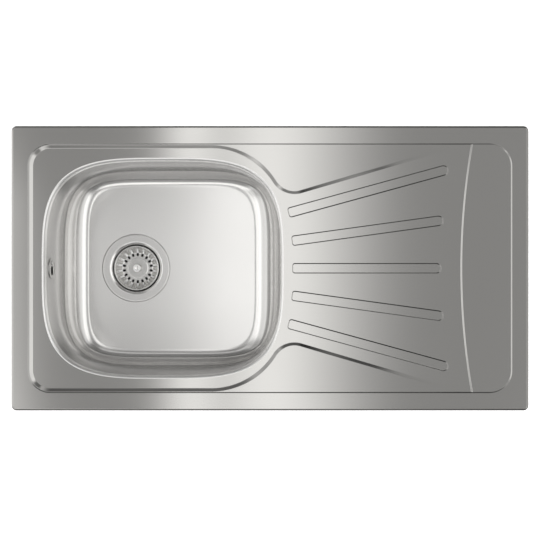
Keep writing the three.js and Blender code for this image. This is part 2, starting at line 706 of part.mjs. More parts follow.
function strainerCup() {
  const t = CUP_SHEET;
  const seatRadius = THROAT_RADIUS - CUP_WALL_DRAFT;
  const bevelRadius = THROAT_RADIUS + THROAT_BEVEL;
  const r = CUP_FLOOR_RADIUS;
  const cup = revolve([
    [FLANGE_RADIUS, FLANGE_TOP - t / 2],
    [FLANGE_RADIUS - t / 2, FLANGE_TOP],
    [bevelRadius, FLANGE_TOP],
    [THROAT_RADIUS + t, FLANGE_TOP - THROAT_BEVEL / 3],
    [THROAT_RADIUS, FLANGE_TOP - THROAT_BEVEL / 1.5],
    [seatRadius, CUP_SEAT_Z + r],
    [seatRadius - r * 0.3, CUP_SEAT_Z + r * 0.3],
    [seatRadius - r, CUP_SEAT_Z],
    [WELL_RADIUS, CUP_SEAT_Z],
    [WELL_RADIUS - t, WELL_Z],
    [CENTRE_SCREW_RADIUS + CLEARANCE, WELL_Z],
    [CENTRE_SCREW_RADIUS + CLEARANCE, WELL_Z - t],
    [WELL_RADIUS, WELL_Z - t],
    [WELL_RADIUS + t, CUP_SEAT_Z - t],
    [seatRadius - r, CUP_SEAT_Z - t],
    [seatRadius - r * 0.3 + t * 0.7, CUP_SEAT_Z + r * 0.3 - t * 0.7],
    [seatRadius + t, CUP_SEAT_Z + r],
    [THROAT_RADIUS + t, FLANGE_Z - THROAT_BEVEL / 1.5],
    [bevelRadius, FLANGE_Z],
    [FLANGE_RADIUS, FLANGE_Z],
  ], CUP_STEPS);
  const opening = sector(WELL_HUB_RADIUS, WELL_RADIUS - 3 * t, 360 / WELL_OPENINGS, WELL_SPOKE);
  const openings = repeated(opening, WELL_OPENINGS);
  return cutAll(cup, openings.map((cutter) => moved(cutter, 0, 0, WELL_Z - t / 2)));
}

// A cutter for one opening of a wheel: spokes of the given width stay between the openings.
function sector(inner, outer, pitch, spoke) {
  const edge = (radius) => pitch / 2 - Math.asin(spoke / 2 / radius) / DEG;
  const [a, b] = [edge(inner), edge(outer)];
  const outline = [
    ...arc(0, 0, outer, -b, b, 3),
    ...arc(0, 0, inner, a, -a, 1),
  ];
  return draftedPrism(outline, 0, 0, 0, -CUP_SHEET * 2, CUP_SHEET * 2);
}

function repeated(shape, count) {
  return Array.from({ length: count }, (_, i) => turned(shape, (2 * Math.PI * i) / count));
}

function wasteBody() {
  const flangeUnder = BODY_TOP - BODY_FLANGE_THICKNESS;
  const outer = BODY_BORE + BODY_WALL;
  const outlet = OUTLET_BORE + OUTLET_WALL;
  const shell = revolve([
    [BODY_BORE, BODY_TOP],
    [BODY_BORE, BODY_BOTTOM],
    [OUTLET_BORE, OUTLET_TOP],
    [OUTLET_BORE, OUTLET_END],
    [outlet, OUTLET_END],
    [outlet, OUTLET_TOP - BODY_WALL],
    [outer, BODY_BOTTOM - BODY_WALL],
    [outer, flangeUnder],
    [FLANGE_RADIUS, flangeUnder],
    [FLANGE_RADIUS, BODY_TOP],
  ], CUP_STEPS);
  const arm = BODY_BORE + BODY_WALL / 2;
  const bridge = box(-arm, arm, -BRIDGE_WIDTH / 2, BRIDGE_WIDTH / 2, BRIDGE_TOP - BRIDGE_HEIGHT, BRIDGE_TOP);
  const hub = disc(BRIDGE_HUB_RADIUS, BRIDGE_TOP - BRIDGE_HEIGHT, BRIDGE_TOP, SMALL_STEPS);
  const screwHole = disc(CENTRE_SCREW_RADIUS + CLEARANCE, BODY_BOTTOM, BODY_TOP, SMALL_STEPS);
  const port = disc(PORT_BORE + PORT_WALL, 0, outer + PORT_LENGTH);
  const bore = disc(PORT_BORE, 0, outer + PORT_LENGTH * 2);
  const sideways = new THREE.Matrix4().makeRotationY(-Math.PI / 2).setPosition(0, 0, PORT_Z);
  const inside = disc(arm, OUTLET_TOP, BODY_TOP, CUP_STEPS);
  const sidePort = placed(port, sideways).subtract(inside);
  return shell
    .add(sidePort)
    .subtract(placed(bore.subtract(disc(PORT_BORE, -1, arm / 2)), sideways))
    .add(bridge.add(hub).subtract(screwHole));
}

function centreScrew() {
  const headTop = WELL_Z + CENTRE_SCREW_HEAD_HEIGHT;
  const reach = CENTRE_SCREW_HEAD_RADIUS;
  const half = CENTRE_SCREW_SLOT / 2;
  const slot = box(-reach, reach, -half, half, headTop - CENTRE_SCREW_HEAD_HEIGHT / 2, headTop + 1);
  const head = disc(CENTRE_SCREW_HEAD_RADIUS, WELL_Z, headTop, SMALL_STEPS);
  const shank = disc(CENTRE_SCREW_RADIUS, BRIDGE_TOP - BRIDGE_HEIGHT - 1, WELL_Z + 1, SMALL_STEPS);
  return head.add(shank).subtract(slot);
}

// A ribbed union nut round a bore, open at its lower end.
function unionNut(bore, neckBore, radius, zLow, zHigh, steps) {
  const nut = revolve([
    [neckBore, zLow],
    [radius, zLow],
    [radius, zHigh],
    [bore, zHigh],
    [bore, zLow + NUT_WALL],
    [neckBore, zLow + NUT_WALL],
  ], steps);
  const half = GRIP_WIDTH / 2;
  const grip = box(radius - NUT_WALL / 3, radius + GRIP_HEIGHT, -half, half, zLow, zHigh - GRIP_WIDTH);
  return nut.add(union(repeated(grip, NUT_GRIPS)));
}

function outletParts() {
  const washerLow = OUTLET_END - WASHER_THICKNESS;
  const tailTop = washerLow - CLEARANCE;
  const tailEnd = tailTop - TAIL_LENGTH;
  const outlet = OUTLET_BORE + OUTLET_WALL;
  const nutLow = tailTop - CLEARANCE - NUT_WALL;
  const nutHigh = nutLow + OUTLET_NUT_HEIGHT;
  const bore = TAIL_RADIUS - TAIL_WALL;
  const washer = ringSolid(bore, outlet, washerLow, OUTLET_END);
  const neck = TAIL_RADIUS + CLEARANCE;
  const nut = unionNut(outlet + CLEARANCE, neck, outlet + NUT_WALL, nutLow, nutHigh, ROUND_STEPS);
  const tail = revolve([
    [bore, washerLow],
    [outlet - TAIL_COLLAR_GAP, washerLow],
    [outlet - TAIL_COLLAR_GAP, tailTop],
    [TAIL_RADIUS, tailTop],
    [TAIL_RADIUS, tailEnd],
    [bore, tailEnd],
  ]);
  return [
    named("outlet_washer", washer, RUBBER),
    named("outlet_nut", nut, PLASTIC),
    named("outlet_tail", tail, PALE_PLASTIC),
  ];
}

// ---- Basket ----

function basket() {
  const steps = FLUTES * FLUTE_STEPS;
  const t = BASKET_SHEET;
  const ring = (radius, z, flute) =>
    Array.from({ length: steps }, (_, i) => {
      const angle = (2 * Math.PI * i) / steps;
      const r = radius + flute * Math.cos(FLUTES * (angle - Math.PI / 2));
      return new THREE.Vector3(r * Math.cos(angle), r * Math.sin(angle), z);
    });
  const wallTop = BASKET_RADIUS - BASKET_RIM_WIDTH;
  const side = (radius, z, share) => ring(radius, z, FLUTE_DEPTH * share);
  const middle = (BASKET_FLOOR_RADIUS + wallTop) / 2;
  const inside = [
    side(STEM_RADIUS + CLEARANCE, BASKET_FLOOR_Z, 0),
    side(BASKET_STEP_RADIUS, BASKET_FLOOR_Z, 0),
    side(BASKET_STEP_RADIUS + BASKET_STEP_HEIGHT, BASKET_FLOOR_Z - BASKET_STEP_HEIGHT / 2, 0),
    side(BASKET_FLOOR_RADIUS, BASKET_FLOOR_Z, 0.3),
    side(middle + 1, BASKET_FLOOR_Z + BASKET_DEPTH * 0.45, 1),
    side(wallTop, BASKET_TOP - BASKET_RIM_WIDTH, 0),
    side(wallTop + t, BASKET_TOP, 0),
    side(BASKET_RADIUS - t, BASKET_TOP, 0),
  ];
  const outside = [
    side(BASKET_RADIUS, BASKET_TOP - t, 0),
    side(wallTop + t * 1.5, BASKET_TOP - BASKET_RIM_WIDTH, 0),
    side(middle + 1 + t, BASKET_FLOOR_Z + BASKET_DEPTH * 0.45 - t / 2, 1),
    side(BASKET_FLOOR_RADIUS + t / 2, BASKET_FLOOR_Z - t, 0.3),
    side(STEM_RADIUS + CLEARANCE, BASKET_FLOOR_Z - t, 0),
  ];
  const shell = closedLoft([...outside.toReversed(), ...inside.toReversed()]);
  const slotPlan = roundedRectangle(SLOT_LENGTH / 2, SLOT_WIDTH / 2, SLOT_WIDTH / 3, 1);
  const slot = moved(draftedPrism(slotPlan, 0, 0, 0, -3, 3), SLOT_CENTRE_RADIUS, 0, BASKET_FLOOR_Z);
  return cutAll(shell, repeated(turned(slot, Math.PI / 2), FLUTES));
}

function basketSeal() {
  const top = CUP_SEAT_Z + SEAL_THICKNESS;
  return revolve([
    [STEM_RADIUS + CLEARANCE, CUP_SEAT_Z],
    [SEAL_RADIUS - SEAL_CHAMFER, CUP_SEAT_Z],
    [SEAL_RADIUS, CUP_SEAT_Z + SEAL_CHAMFER],
    [SEAL_RADIUS - 2 * SEAL_CHAMFER, top],
    [STEM_RADIUS + CLEARANCE, top],
  ]);
}

function basketStem() {
  const sealTop = CUP_SEAT_Z + SEAL_THICKNESS;
  const floorUnder = BASKET_FLOOR_Z - BASKET_SHEET;
  const tip = BASKET_FLOOR_Z + KNOB_HEIGHT - KNOB_WALL - CLEARANCE;
  const shaft = disc(STEM_RADIUS, CUP_SEAT_Z - 1, tip, SMALL_STEPS);
  const head = disc(STEM_HEAD_RADIUS, CUP_SEAT_Z - STEM_HEAD_HEIGHT, CUP_SEAT_Z, SMALL_STEPS);
  const collar = disc(STEM_COLLAR_RADIUS, sealTop, floorUnder, SMALL_STEPS);
  return union([shaft, head, collar]);
}

function basketKnob() {
  const top = BASKET_FLOOR_Z + KNOB_HEIGHT;
  const bore = STEM_RADIUS + CLEARANCE;
  const crownLow = top - KNOB_CROWN_HEIGHT;
  const outside = revolve([
    [0, BASKET_FLOOR_Z],
    [KNOB_RADIUS, BASKET_FLOOR_Z],
    [KNOB_WAIST_RADIUS, BASKET_FLOOR_Z + KNOB_FOOT_HEIGHT],
    [KNOB_WAIST_RADIUS, crownLow - KNOB_CROWN_HEIGHT],
    [KNOB_RADIUS, crownLow],
    [KNOB_RADIUS, top - KNOB_CHAMFER],
    [KNOB_RADIUS - KNOB_CHAMFER, top],
    [KNOB_DIMPLE_RADIUS + KNOB_CHAMFER, top],
    [KNOB_DIMPLE_RADIUS, top - KNOB_CHAMFER],
    [0, top - KNOB_CHAMFER],
  ], PIPE_STEPS);
  return outside.subtract(disc(bore, BASKET_FLOOR_Z - 1, top - KNOB_WALL, SMALL_STEPS));
}

// ---- Overflow, made along +Z out of the wall into the bowl, then leaned to it ----

function rosette() {
  const r = ROSETTE_RADIUS;
  const face = ROSETTE_THICKNESS + CLEARANCE;
  const spigot = OVERFLOW_HOLE_RADIUS - CLEARANCE;
  const plate = revolve([
    [0, CLEARANCE - SHEET],
    [spigot, CLEARANCE - SHEET],
    [spigot, CLEARANCE],
    [r, CLEARANCE],
    [r, CLEARANCE + ROSETTE_THICKNESS / 3],
    [r - ROSETTE_THICKNESS, face],
    [r - ROSETTE_RIM_WIDTH, face],
    [r - ROSETTE_RIM_WIDTH - ROSETTE_DISH, face - ROSETTE_DISH],
    [0, face - ROSETTE_DISH],
  ]);
  const screwHole = moved(disc(OVERFLOW_SCREW_RADIUS + CLEARANCE, -3, 3, SMALL_STEPS), 0, ROSETTE_SCREW_Y, 0);
  const slots = ROSETTE_SLOTS.map(({ y, z, length, width }) => {
    const plan = roundedRectangle(width / 2, length / 2, width * 0.45, 2);
    return moved(draftedPrism(plan, 0, 0, 0, -3, 3), -z, y, 0);
  });
  return cutAll(plate, [screwHole, ...slots]);
}

function overflowParts() {
  const back = -SHEET - OVERFLOW_GASKET_THICKNESS; // face of the elbow's flange
  const face = ROSETTE_THICKNESS + CLEARANCE - ROSETTE_DISH + SCREW_SEAT_GAP;
  const lugZ = back - ELBOW_LUG_DEPTH;
  const screw = disc(OVERFLOW_SCREW_HEAD_RADIUS, face, face + OVERFLOW_SCREW_HEAD_HEIGHT, SMALL_STEPS)
    .add(disc(OVERFLOW_SCREW_RADIUS, lugZ + 1, face + OVERFLOW_SCREW_HEAD_HEIGHT / 2, SMALL_STEPS));
  const gasket = ringSolid(OVERFLOW_HOLE_RADIUS + 1, ELBOW_FLANGE_RADIUS - 1, back, -SHEET - GASKET_GAP);
  return { screw: moved(screw, 0, ROSETTE_SCREW_Y, 0), gasket, elbow: elbow(back, lugZ) };
}

function elbow(back, lugZ) {
  const cup = revolve([
    [0, back - ELBOW_DEPTH],
    [ELBOW_RADIUS - 2, back - ELBOW_DEPTH],
    [ELBOW_RADIUS, back - ELBOW_DEPTH + 2],
    [ELBOW_RADIUS, back - ELBOW_FLANGE_THICKNESS],
    [ELBOW_FLANGE_RADIUS, back - ELBOW_FLANGE_THICKNESS],
    [ELBOW_FLANGE_RADIUS, back],
    [ELBOW_RADIUS - ELBOW_WALL, back],
    [ELBOW_RADIUS - ELBOW_WALL, back - ELBOW_DEPTH + ELBOW_WALL],
    [0, back - ELBOW_DEPTH + ELBOW_WALL],
  ]);
  const half = ELBOW_LUG_WIDTH / 2;
  const lug = box(-half, half, ROSETTE_SCREW_Y - half, ELBOW_RADIUS - 1, lugZ - ELBOW_WALL, back - 1)
    .subtract(moved(disc(OVERFLOW_SCREW_RADIUS + CLEARANCE, lugZ, 0, SMALL_STEPS), 0, ROSETTE_SCREW_Y, 0));
  return placed(cup.add(lug), overflowFrame());
}

function overflowPlaces() {
  const frame = overflowFrame();
  const depth = -SHEET - OVERFLOW_GASKET_THICKNESS - ELBOW_DEPTH * ELBOW_TAIL_PLACE;
  const centre = new THREE.Vector3(0, 0, depth).applyMatrix4(frame);
  return { x: centre.x, top: centre.z, end: centre.z - ELBOW_TAIL_LENGTH };
}

function elbowWithTail(cup) {
  const { x, top, end } = overflowPlaces();
  const outer = PIPE_RADIUS + CLEARANCE + ELBOW_WALL;
  const tube = moved(disc(outer, end, top - ELBOW_RADIUS / 2, PIPE_STEPS), x, 0, 0);
  const bore = moved(disc(PIPE_RADIUS - PIPE_WALL, end - 1, top - 2, PIPE_STEPS), x, 0, 0);
  const socket = moved(disc(PIPE_RADIUS + CLEARANCE, end - 1, end + ELBOW_SOCKET_DEPTH, PIPE_STEPS), x, 0, 0);
  return cup.add(tube).subtract(bore).subtract(socket);
}

// The overflow pipe: down from the elbow, round one bend and along to the waste body's port.
function overflowPipe() {
  const { x, end } = overflowPlaces();
  const portEnd = WASTE_X - BODY_BORE - BODY_WALL - PORT_LENGTH;
  const bendX = x + PIPE_BEND_RADIUS;
  const bendZ = PORT_Z + PIPE_BEND_RADIUS;
  const path = [{ x, z: end + PIPE_INSERTION, lean: 0 }];
  for (let k = 0; k <= PIPE_BEND_STEPS; k += 1) {
    const lean = (Math.PI / 2) * (k / PIPE_BEND_STEPS);
    const [c, s] = [Math.cos(lean), Math.sin(lean)];
    path.push({ x: bendX - PIPE_BEND_RADIUS * c, z: bendZ - PIPE_BEND_RADIUS * s, lean });
  }
  path.push({ x: portEnd - CLEARANCE, z: PORT_Z, lean: Math.PI / 2 });
  const section = (p, radius) =>
    Array.from({ length: PIPE_SIDES }, (_, i) => {
      const angle = (2 * Math.PI * i) / PIPE_SIDES;
      const across = radius * Math.cos(angle);
      return new THREE.Vector3(
        p.x + across * Math.cos(p.lean), radius * Math.sin(angle), p.z + across * Math.sin(p.lean),
      );
    });
  const outer = path.map((p) => section(p, PIPE_RADIUS));
  const inner = path.map((p) => section(p, PIPE_RADIUS - PIPE_WALL));
  return closedLoft([...inner, ...outer.toReversed()]);
}

function overflowNuts() {
  const { x, end } = overflowPlaces();
  const elbowOuter = PIPE_RADIUS + CLEARANCE + ELBOW_WALL;
  const portOuter = PORT_BORE + PORT_WALL;
  const neck = PIPE_RADIUS + CLEARANCE;
  const portEnd = WASTE_X - BODY_BORE - BODY_WALL - PORT_LENGTH;
  const low = end - NUT_WALL - CLEARANCE;
  const nutOn = (outer, z) =>
    unionNut(outer + CLEARANCE, neck, outer + NUT_WALL, z, z + PIPE_NUT_HEIGHT, PIPE_STEPS);
  const upper = nutOn(elbowOuter, low);
  const lower = nutOn(portOuter, 0);
  const sideways = new THREE.Matrix4().makeRotationY(Math.PI / 2);
  sideways.setPosition(portEnd - NUT_WALL - CLEARANCE, 0, PORT_Z);
  return { upper: moved(upper, x, 0, 0), lower: placed(lower, sideways) };
}

// ---- Rim seal and clip rails ----

// Edges of the plate. Each is made facing +Y and turned to its place.
const EDGES = [
  { name: "rear", turn: 0, reach: PLATE_WIDTH / 2, span: PLATE_LENGTH, clips: LONG_SIDE_CLIPS },
  { name: "left", turn: 90, reach: PLATE_LENGTH / 2, span: PLATE_WIDTH, clips: [LEFT_CLIP_Y] },
  { name: "front", turn: 180, reach: PLATE_WIDTH / 2, span: PLATE_LENGTH, clips: LONG_SIDE_CLIPS },
  { name: "right", turn: 270, reach: PLATE_LENGTH / 2, span: PLATE_WIDTH, clips: [RIGHT_CLIP_Y] },
];

function sealStrip({ reach, span, turn }) {
  const onLongSide = turn % 180 === 0;
  const inner = reach - SEAL_STRIP_INSET - SEAL_STRIP_WIDTH;
  const outer = reach - SEAL_STRIP_INSET;
  const overlap = onLongSide ? 0 : SEAL_STRIP_WIDTH + CLEARANCE;
  const half = span / 2 - SEAL_STRIP_INSET - overlap - (onLongSide ? PLATE_CORNER_RADIUS / 2 : 0);
  return box(-half, half, inner, outer, 0, RIM_UNDERSIDE);
}

function clipRail({ reach, span, clips }) {
  const outer = reach - RAIL_INSET;
  const half = span / 2 - RAIL_END_GAP;
  const web = box(-half, half, outer - RAIL_SHEET, outer, RIM_UNDERSIDE - RAIL_DROP, RIM_UNDERSIDE);
  const flange = box(-half, half, outer - RAIL_FLANGE, outer, RIM_UNDERSIDE - RAIL_SHEET, RIM_UNDERSIDE);
  const slotHigh = RIM_UNDERSIDE - RAIL_SLOT_DROP;
  const halfSlot = CLIP_BRACKET_WIDTH / 2 + 2 * CLEARANCE;
  const slots = clips.map((x) =>
    box(x - halfSlot, x + halfSlot, outer - 2, outer + 2, slotHigh - RAIL_SLOT_HEIGHT, slotHigh),
  );
  return cutAll(web.add(flange), slots);
}

// ---- Clips, made at the screw's axis with +X along the edge and +Y out over it ----

function clipBracket() {
  const railFace = CLIP_SCREW_INSET - RAIL_INSET - RAIL_SHEET;
  const strap = railFace - CLEARANCE;
  const hookOuter = CLIP_SCREW_INSET - RAIL_INSET + CLEARANCE;
  const hookZ = RIM_UNDERSIDE - RAIL_SLOT_DROP - RAIL_SLOT_HEIGHT; // sits on the slot's lower edge
  const t = CLIP_SHEET;
  const profile = [
    [-CLIP_TAB_REACH, CLIP_TAB_Z],
    [strap, CLIP_TAB_Z],
    [strap, hookZ],
    [hookOuter, hookZ],
    [hookOuter, hookZ - CLIP_HOOK_DROP + t],
    [hookOuter + t, hookZ - CLIP_HOOK_DROP + t],
    [hookOuter + t, hookZ + t],
    [strap - t, hookZ + t],
    [strap - t, CLIP_TAB_Z + t],
    [-CLIP_TAB_REACH, CLIP_TAB_Z + t],
  ];
  const half = CLIP_BRACKET_WIDTH / 2;
  const bent = turned(sweepY(profile, -half, half), Math.PI / 2);
  const hole = disc(CLIP_SCREW_RADIUS + CLEARANCE, CLIP_TAB_Z - 1, CLIP_TAB_Z + t + 1, SMALL_STEPS);
  return bent.subtract(hole);
}

function clipScrew() {
  const headTop = CLIP_SCREW_TOP - CLIP_SCREW_LENGTH;
  const head = disc(CLIP_SCREW_HEAD_RADIUS, headTop - CLIP_SCREW_HEAD_HEIGHT, headTop, 6);
  const shank = disc(CLIP_SCREW_RADIUS, headTop - 1, CLIP_SCREW_TOP, SMALL_STEPS);
  return head.add(shank);
}

function clipClaw() {
  const low = CLIP_SCREW_TOP - CLIP_SCREW_LENGTH;
  const t = CLIP_SHEET;
  const profile = [
    [-CLAW_HEEL, low],
    [CLAW_REACH, low],
    [CLAW_REACH, low + CLAW_TIP_HEIGHT],
    [CLAW_REACH - t, low + CLAW_TIP_HEIGHT],
    [CLAW_REACH - t, low + t],
    [-CLAW_HEEL + t, low + t],
    [-CLAW_HEEL + t, low + CLAW_HEEL_HEIGHT],
    [-CLAW_HEEL, low + CLAW_HEEL_HEIGHT],
  ];
  const half = CLAW_WIDTH / 2;
  const bent = sweepY(profile, -half, half);
  const hole = disc(CLIP_SCREW_RADIUS + CLEARANCE, low - 1, low + t + 1, SMALL_STEPS);
  const tipTop = low + CLAW_TIP_HEIGHT;
  const notch = new THREE.CylinderGeometry(CLAW_TOOTH, CLAW_TOOTH, 3 * t, 4);
  const notches = [-1, 1].map((side) =>
    solid(notch.clone().rotateZ(Math.PI / 2).translate(CLAW_REACH - t / 2, (side * CLAW_WIDTH) / 4, tipTop)),
  );
  return cutAll(bent.subtract(hole), notches);
}

// ---- Assembly ----

const sink = new THREE.Group();

sink.add(
  named("deck_plate", deckPlate(), STEEL),
  named("bowl", bowl(), STEEL),
  named("bowl_damping_pad", bowlPad(), BITUMEN),
  named("drainboard_damping_pad", fanPad(), BITUMEN),
);

const waste = new THREE.Group();
waste.position.x = WASTE_X;
const gasketTop = BODY_TOP + BODY_GASKET_THICKNESS;
waste.add(
  named("strainer_cup", strainerCup(), POLISHED),
  named("flange_gasket", ringSolid(GASKET_BORE, GASKET_RADIUS, SEAT_Z, FLANGE_Z), RUBBER),
  named("body_gasket", ringSolid(GASKET_BORE, GASKET_RADIUS, BODY_TOP, gasketTop), RUBBER),
  named("waste_body", wasteBody(), PLASTIC),
  named("centre_screw", centreScrew(), ZINC),
  named("strainer_basket", basket(), POLISHED),
  named("basket_seal", basketSeal(), RUBBER),
  named("basket_stem", basketStem(), ZINC),
  named("basket_knob", basketKnob(), POLISHED),
  ...outletParts(),
);
sink.add(waste);

const overflow = overflowParts();
const nuts = overflowNuts();
sink.add(
  named("overflow_rosette", placed(rosette(), overflowFrame()), POLISHED),
  named("overflow_screw", placed(overflow.screw, overflowFrame()), POLISHED),
  named("overflow_gasket", placed(overflow.gasket, overflowFrame()), RUBBER),
  named("overflow_elbow", elbowWithTail(overflow.elbow), PLASTIC),
  named("overflow_pipe", overflowPipe(), PALE_PLASTIC),
  named("overflow_upper_nut", nuts.upper, PLASTIC),
  named("overflow_lower_nut", nuts.lower, PLASTIC),
);

let clipNumber = 0;
for (const edge of EDGES) {
  const side = new THREE.Group();
  side.rotation.z = edge.turn * DEG;
  side.add(named(`rim_seal_${edge.name}`, sealStrip(edge), RUBBER));
  side.add(named(`clip_rail_${edge.name}`, clipRail(edge), STEEL));
  for (const x of edge.clips) {
    clipNumber += 1;
    const clip = new THREE.Group();
    clip.position.set(x, edge.reach - CLIP_SCREW_INSET, 0);
    clip.add(
      named(`clip_bracket_${clipNumber}`, clipBracket(), ZINC),
      named(`clip_screw_${clipNumber}`, clipScrew(), ZINC),
      named(`clip_claw_${clipNumber}`, clipClaw(), ZINC),
    );
    side.add(clip);
  }
  sink.add(side);
}

export default sink;
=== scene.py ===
import json
import math

import bpy
import numpy as np
from mathutils import Matrix, Vector
from mathutils.geometry import delaunay_2d_cdt


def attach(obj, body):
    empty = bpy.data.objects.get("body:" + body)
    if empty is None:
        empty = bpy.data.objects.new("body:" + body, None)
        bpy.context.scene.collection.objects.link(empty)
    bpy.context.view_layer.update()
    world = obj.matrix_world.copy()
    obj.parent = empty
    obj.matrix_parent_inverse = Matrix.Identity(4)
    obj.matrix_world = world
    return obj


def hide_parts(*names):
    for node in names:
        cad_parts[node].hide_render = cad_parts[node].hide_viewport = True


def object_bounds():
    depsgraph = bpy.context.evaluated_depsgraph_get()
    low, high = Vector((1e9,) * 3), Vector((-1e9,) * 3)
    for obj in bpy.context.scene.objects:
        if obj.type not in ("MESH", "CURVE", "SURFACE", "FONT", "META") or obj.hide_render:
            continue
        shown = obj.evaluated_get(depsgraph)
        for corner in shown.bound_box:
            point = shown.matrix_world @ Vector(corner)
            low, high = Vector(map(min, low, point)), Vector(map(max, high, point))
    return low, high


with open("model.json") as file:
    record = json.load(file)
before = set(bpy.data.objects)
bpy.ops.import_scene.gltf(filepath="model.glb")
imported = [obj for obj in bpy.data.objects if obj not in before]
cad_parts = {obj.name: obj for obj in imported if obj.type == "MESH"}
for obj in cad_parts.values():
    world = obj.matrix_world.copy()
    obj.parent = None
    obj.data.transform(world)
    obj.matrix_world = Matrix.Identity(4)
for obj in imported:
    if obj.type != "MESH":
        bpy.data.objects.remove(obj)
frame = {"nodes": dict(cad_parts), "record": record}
cad_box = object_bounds()
nodes = frame["nodes"]
MM = 0.001
DEG = math.pi / 180

# ---- Sizes in millimetres ----
PLATE_X, PLATE_Y, PLATE_R = 395.0, 217.5, 8.0
SHEET = 0.8
RIM_Z = 5.0
BEVEL_W, BEVEL_DROP, EDGE_Z = 2.5, 1.5, 0.3
PANEL_X, PANEL_Y, PANEL_R = 369.0, 190.0, 34.0
PANEL_Z = 4.0
LEDGE = 2.0
RECESS_Z = 1.8
RECESS_DRAFT = 1.9
SHOULDER_X, SHOULDER_R, SHOULDER_TURN = -90.0, 116.5, 57.8
NECK_R, FAN_ANGLE, FAN_EDGE = 34.5, 16.4, 262
FAN_LOW_X, FAN_HIGH_X, FAN_HIGH_Z = 30.0, 300.0, 3.1
END_X, END_R = 292.7, 1100.0
RIB_W, RIB_H, RIB_R = 13.4, 1.5, 3.0
RIBS = [(35.2, 0.0, 225.4, 0.0)]
for rib in ((34.4, 41.9, 231.4, 7.8), (29.0, 84.8, 251.0, 15.3)):
    RIBS += [rib, (rib[0], -rib[1], rib[2], -rib[3])]

RIM_WIDTH = 3.2  # from the plate's edge to where the deck's triangles begin

# The bowl's levels are superellipses of half sizes A and B and a power P.
BOWL_A, BOWL_B, BOWL_X, BOWL_P, FLOOR_P = 181.0, 165.0, -164.0, 3.5, 5.6
BOWL_STEPS = 240
CAD_DRAFT, DRAFT, DRAFT_LOW = 4.6 * DEG, 5.2 * DEG, 1.0 * DEG
LIP_R = 4.0
WELD_Z = -9.0
LIP_Z = RECESS_Z - LIP_R
WALL_TOP = LIP_Z + LIP_R * math.sin(DRAFT)
FLOOR_FALL = 3.0
WASTE_X, WASTE_Z, SEAT_EDGE, WASTE_HOLE = -227.0, -157.0, 57.9, 45
SEAT_Z = WASTE_Z - 2.6
FLOOR_LENGTH = 2 * (BOWL_A - 36.4)
# The foot's reach at the left, its rise, its reach at the sides, and its reach at the right as a share of the left's.
FILLET_REACH, FILLET_RISE, FOOT_SIDE, FOOT_RIGHT = 34.0, 45.0, 27.0, 1.28
# How much of the left wall's inset the walls at the right and at the sides have, and how flat the sides' foot is.
WALL_RIGHT, WALL_SIDE, SIDE_EASE = 1 / 3, 0.72, 0.55
CREASE_Z = WASTE_Z + FILLET_RISE
FLANGE_TOP = SEAT_Z + 2.5
CUP_SEAT = FLANGE_TOP - 33
WELL_Z = CUP_SEAT - 12
BASKET_TOP = FLANGE_TOP - 3
BASKET_Z = BASKET_TOP - 16
BODY_TOP = SEAT_Z - SHEET - 3
BODY_BOTTOM = BODY_TOP - 48
OUTLET_TOP = BODY_BOTTOM - 12
OUTLET_END = OUTLET_TOP - 26
PORT_Z = BODY_TOP - 25
BODY_R, BODY_BORE, PORT_BORE, PORT_LENGTH = 45.5, 43, 8.5, 22
FIT = 0.3
WASHER, TAIL_LENGTH = 3, 70
SLOTS, SLOT_AT, SLOT_LONG, SLOT_WIDE = 18, 23.5, 2.8, 2.0
OVERFLOW_Z, OVERFLOW_R = -33.0, 12.5
ELBOW_DEPTH, ELBOW_SHARE, ELBOW_TAIL = 17, 0.66, 34
PIPE_R, PIPE_BORE, PIPE_BEND, PIPE_INSERTION = 8.0, 6.5, 34.0, 8


def wall_inset(z):
    """How far the bowl's wall has come in at a height: its draft grows less with depth."""
    low = WALL_TOP - z
    fade = (math.tan(DRAFT) - math.tan(DRAFT_LOW)) / (2 * (WALL_TOP - CREASE_Z))
    return low * (math.tan(DRAFT) - fade * low)


# ---- Materials ----

class Nodes:
    """A material's node tree, with one short call for each node."""

    def __init__(self, tree):
        self.tree = tree
        self.tree.nodes.clear()

    def add(self, kind):
        return self.tree.nodes.new(kind)

    def link(self, a, b):
        self.tree.links.new(a, b)

    def math(self, operation, a, b=None, clamp=False):
        node = self.add("ShaderNodeMath")
        node.operation = operation
        node.use_clamp = clamp
        for k, value in enumerate((a, b)):
            if value is None:
                continue
            if isinstance(value, (int, float)):
                node.inputs[k].default_value = value
            else:
                self.link(value, node.inputs[k])
        return node.outputs[0]

    def mix(self, factor, a, b):
        node = self.add("ShaderNodeMix")
        node.data_type = "RGBA"
        for socket, value in ((node.inputs[0], factor), (node.inputs[6], a), (node.inputs[7], b)):
            if isinstance(value, (tuple, list)):
                socket.default_value = (*value[:3], 1)
            elif isinstance(value, (int, float)):
                socket.default_value = value
            else:
                self.link(value, socket)
        return node.outputs[2]

    def smooth(self, value, low, high):
        """0 below low and 1 above high, smooth between."""
        node = self.add("ShaderNodeMapRange")
        node.interpolation_type = "SMOOTHSTEP"
        backwards = low > high
        start, end = node.inputs["From Min"], node.inputs["From Max"]
        start.default_value, end.default_value = (high, low) if backwards else (low, high)
        start, end = node.inputs["To Min"], node.inputs["To Max"]
        start.default_value, end.default_value = (1, 0) if backwards else (0, 1)
        self.link(value, node.inputs["Value"])
        return node.outputs["Result"]

    def ramp(self, factor, stops):
        """Colours along a factor."""
        node = self.add("ShaderNodeValToRGB")
        elements = node.color_ramp.elements
        while len(elements) > 1:
            elements.remove(elements[-1])
        for k, (place, value) in enumerate(stops):
            stop = elements[0] if k == 0 else elements.new(place)
            stop.position = place
            stop.color = (*value, 1)
        self.link(factor, node.inputs[0])
        return node.outputs[0]


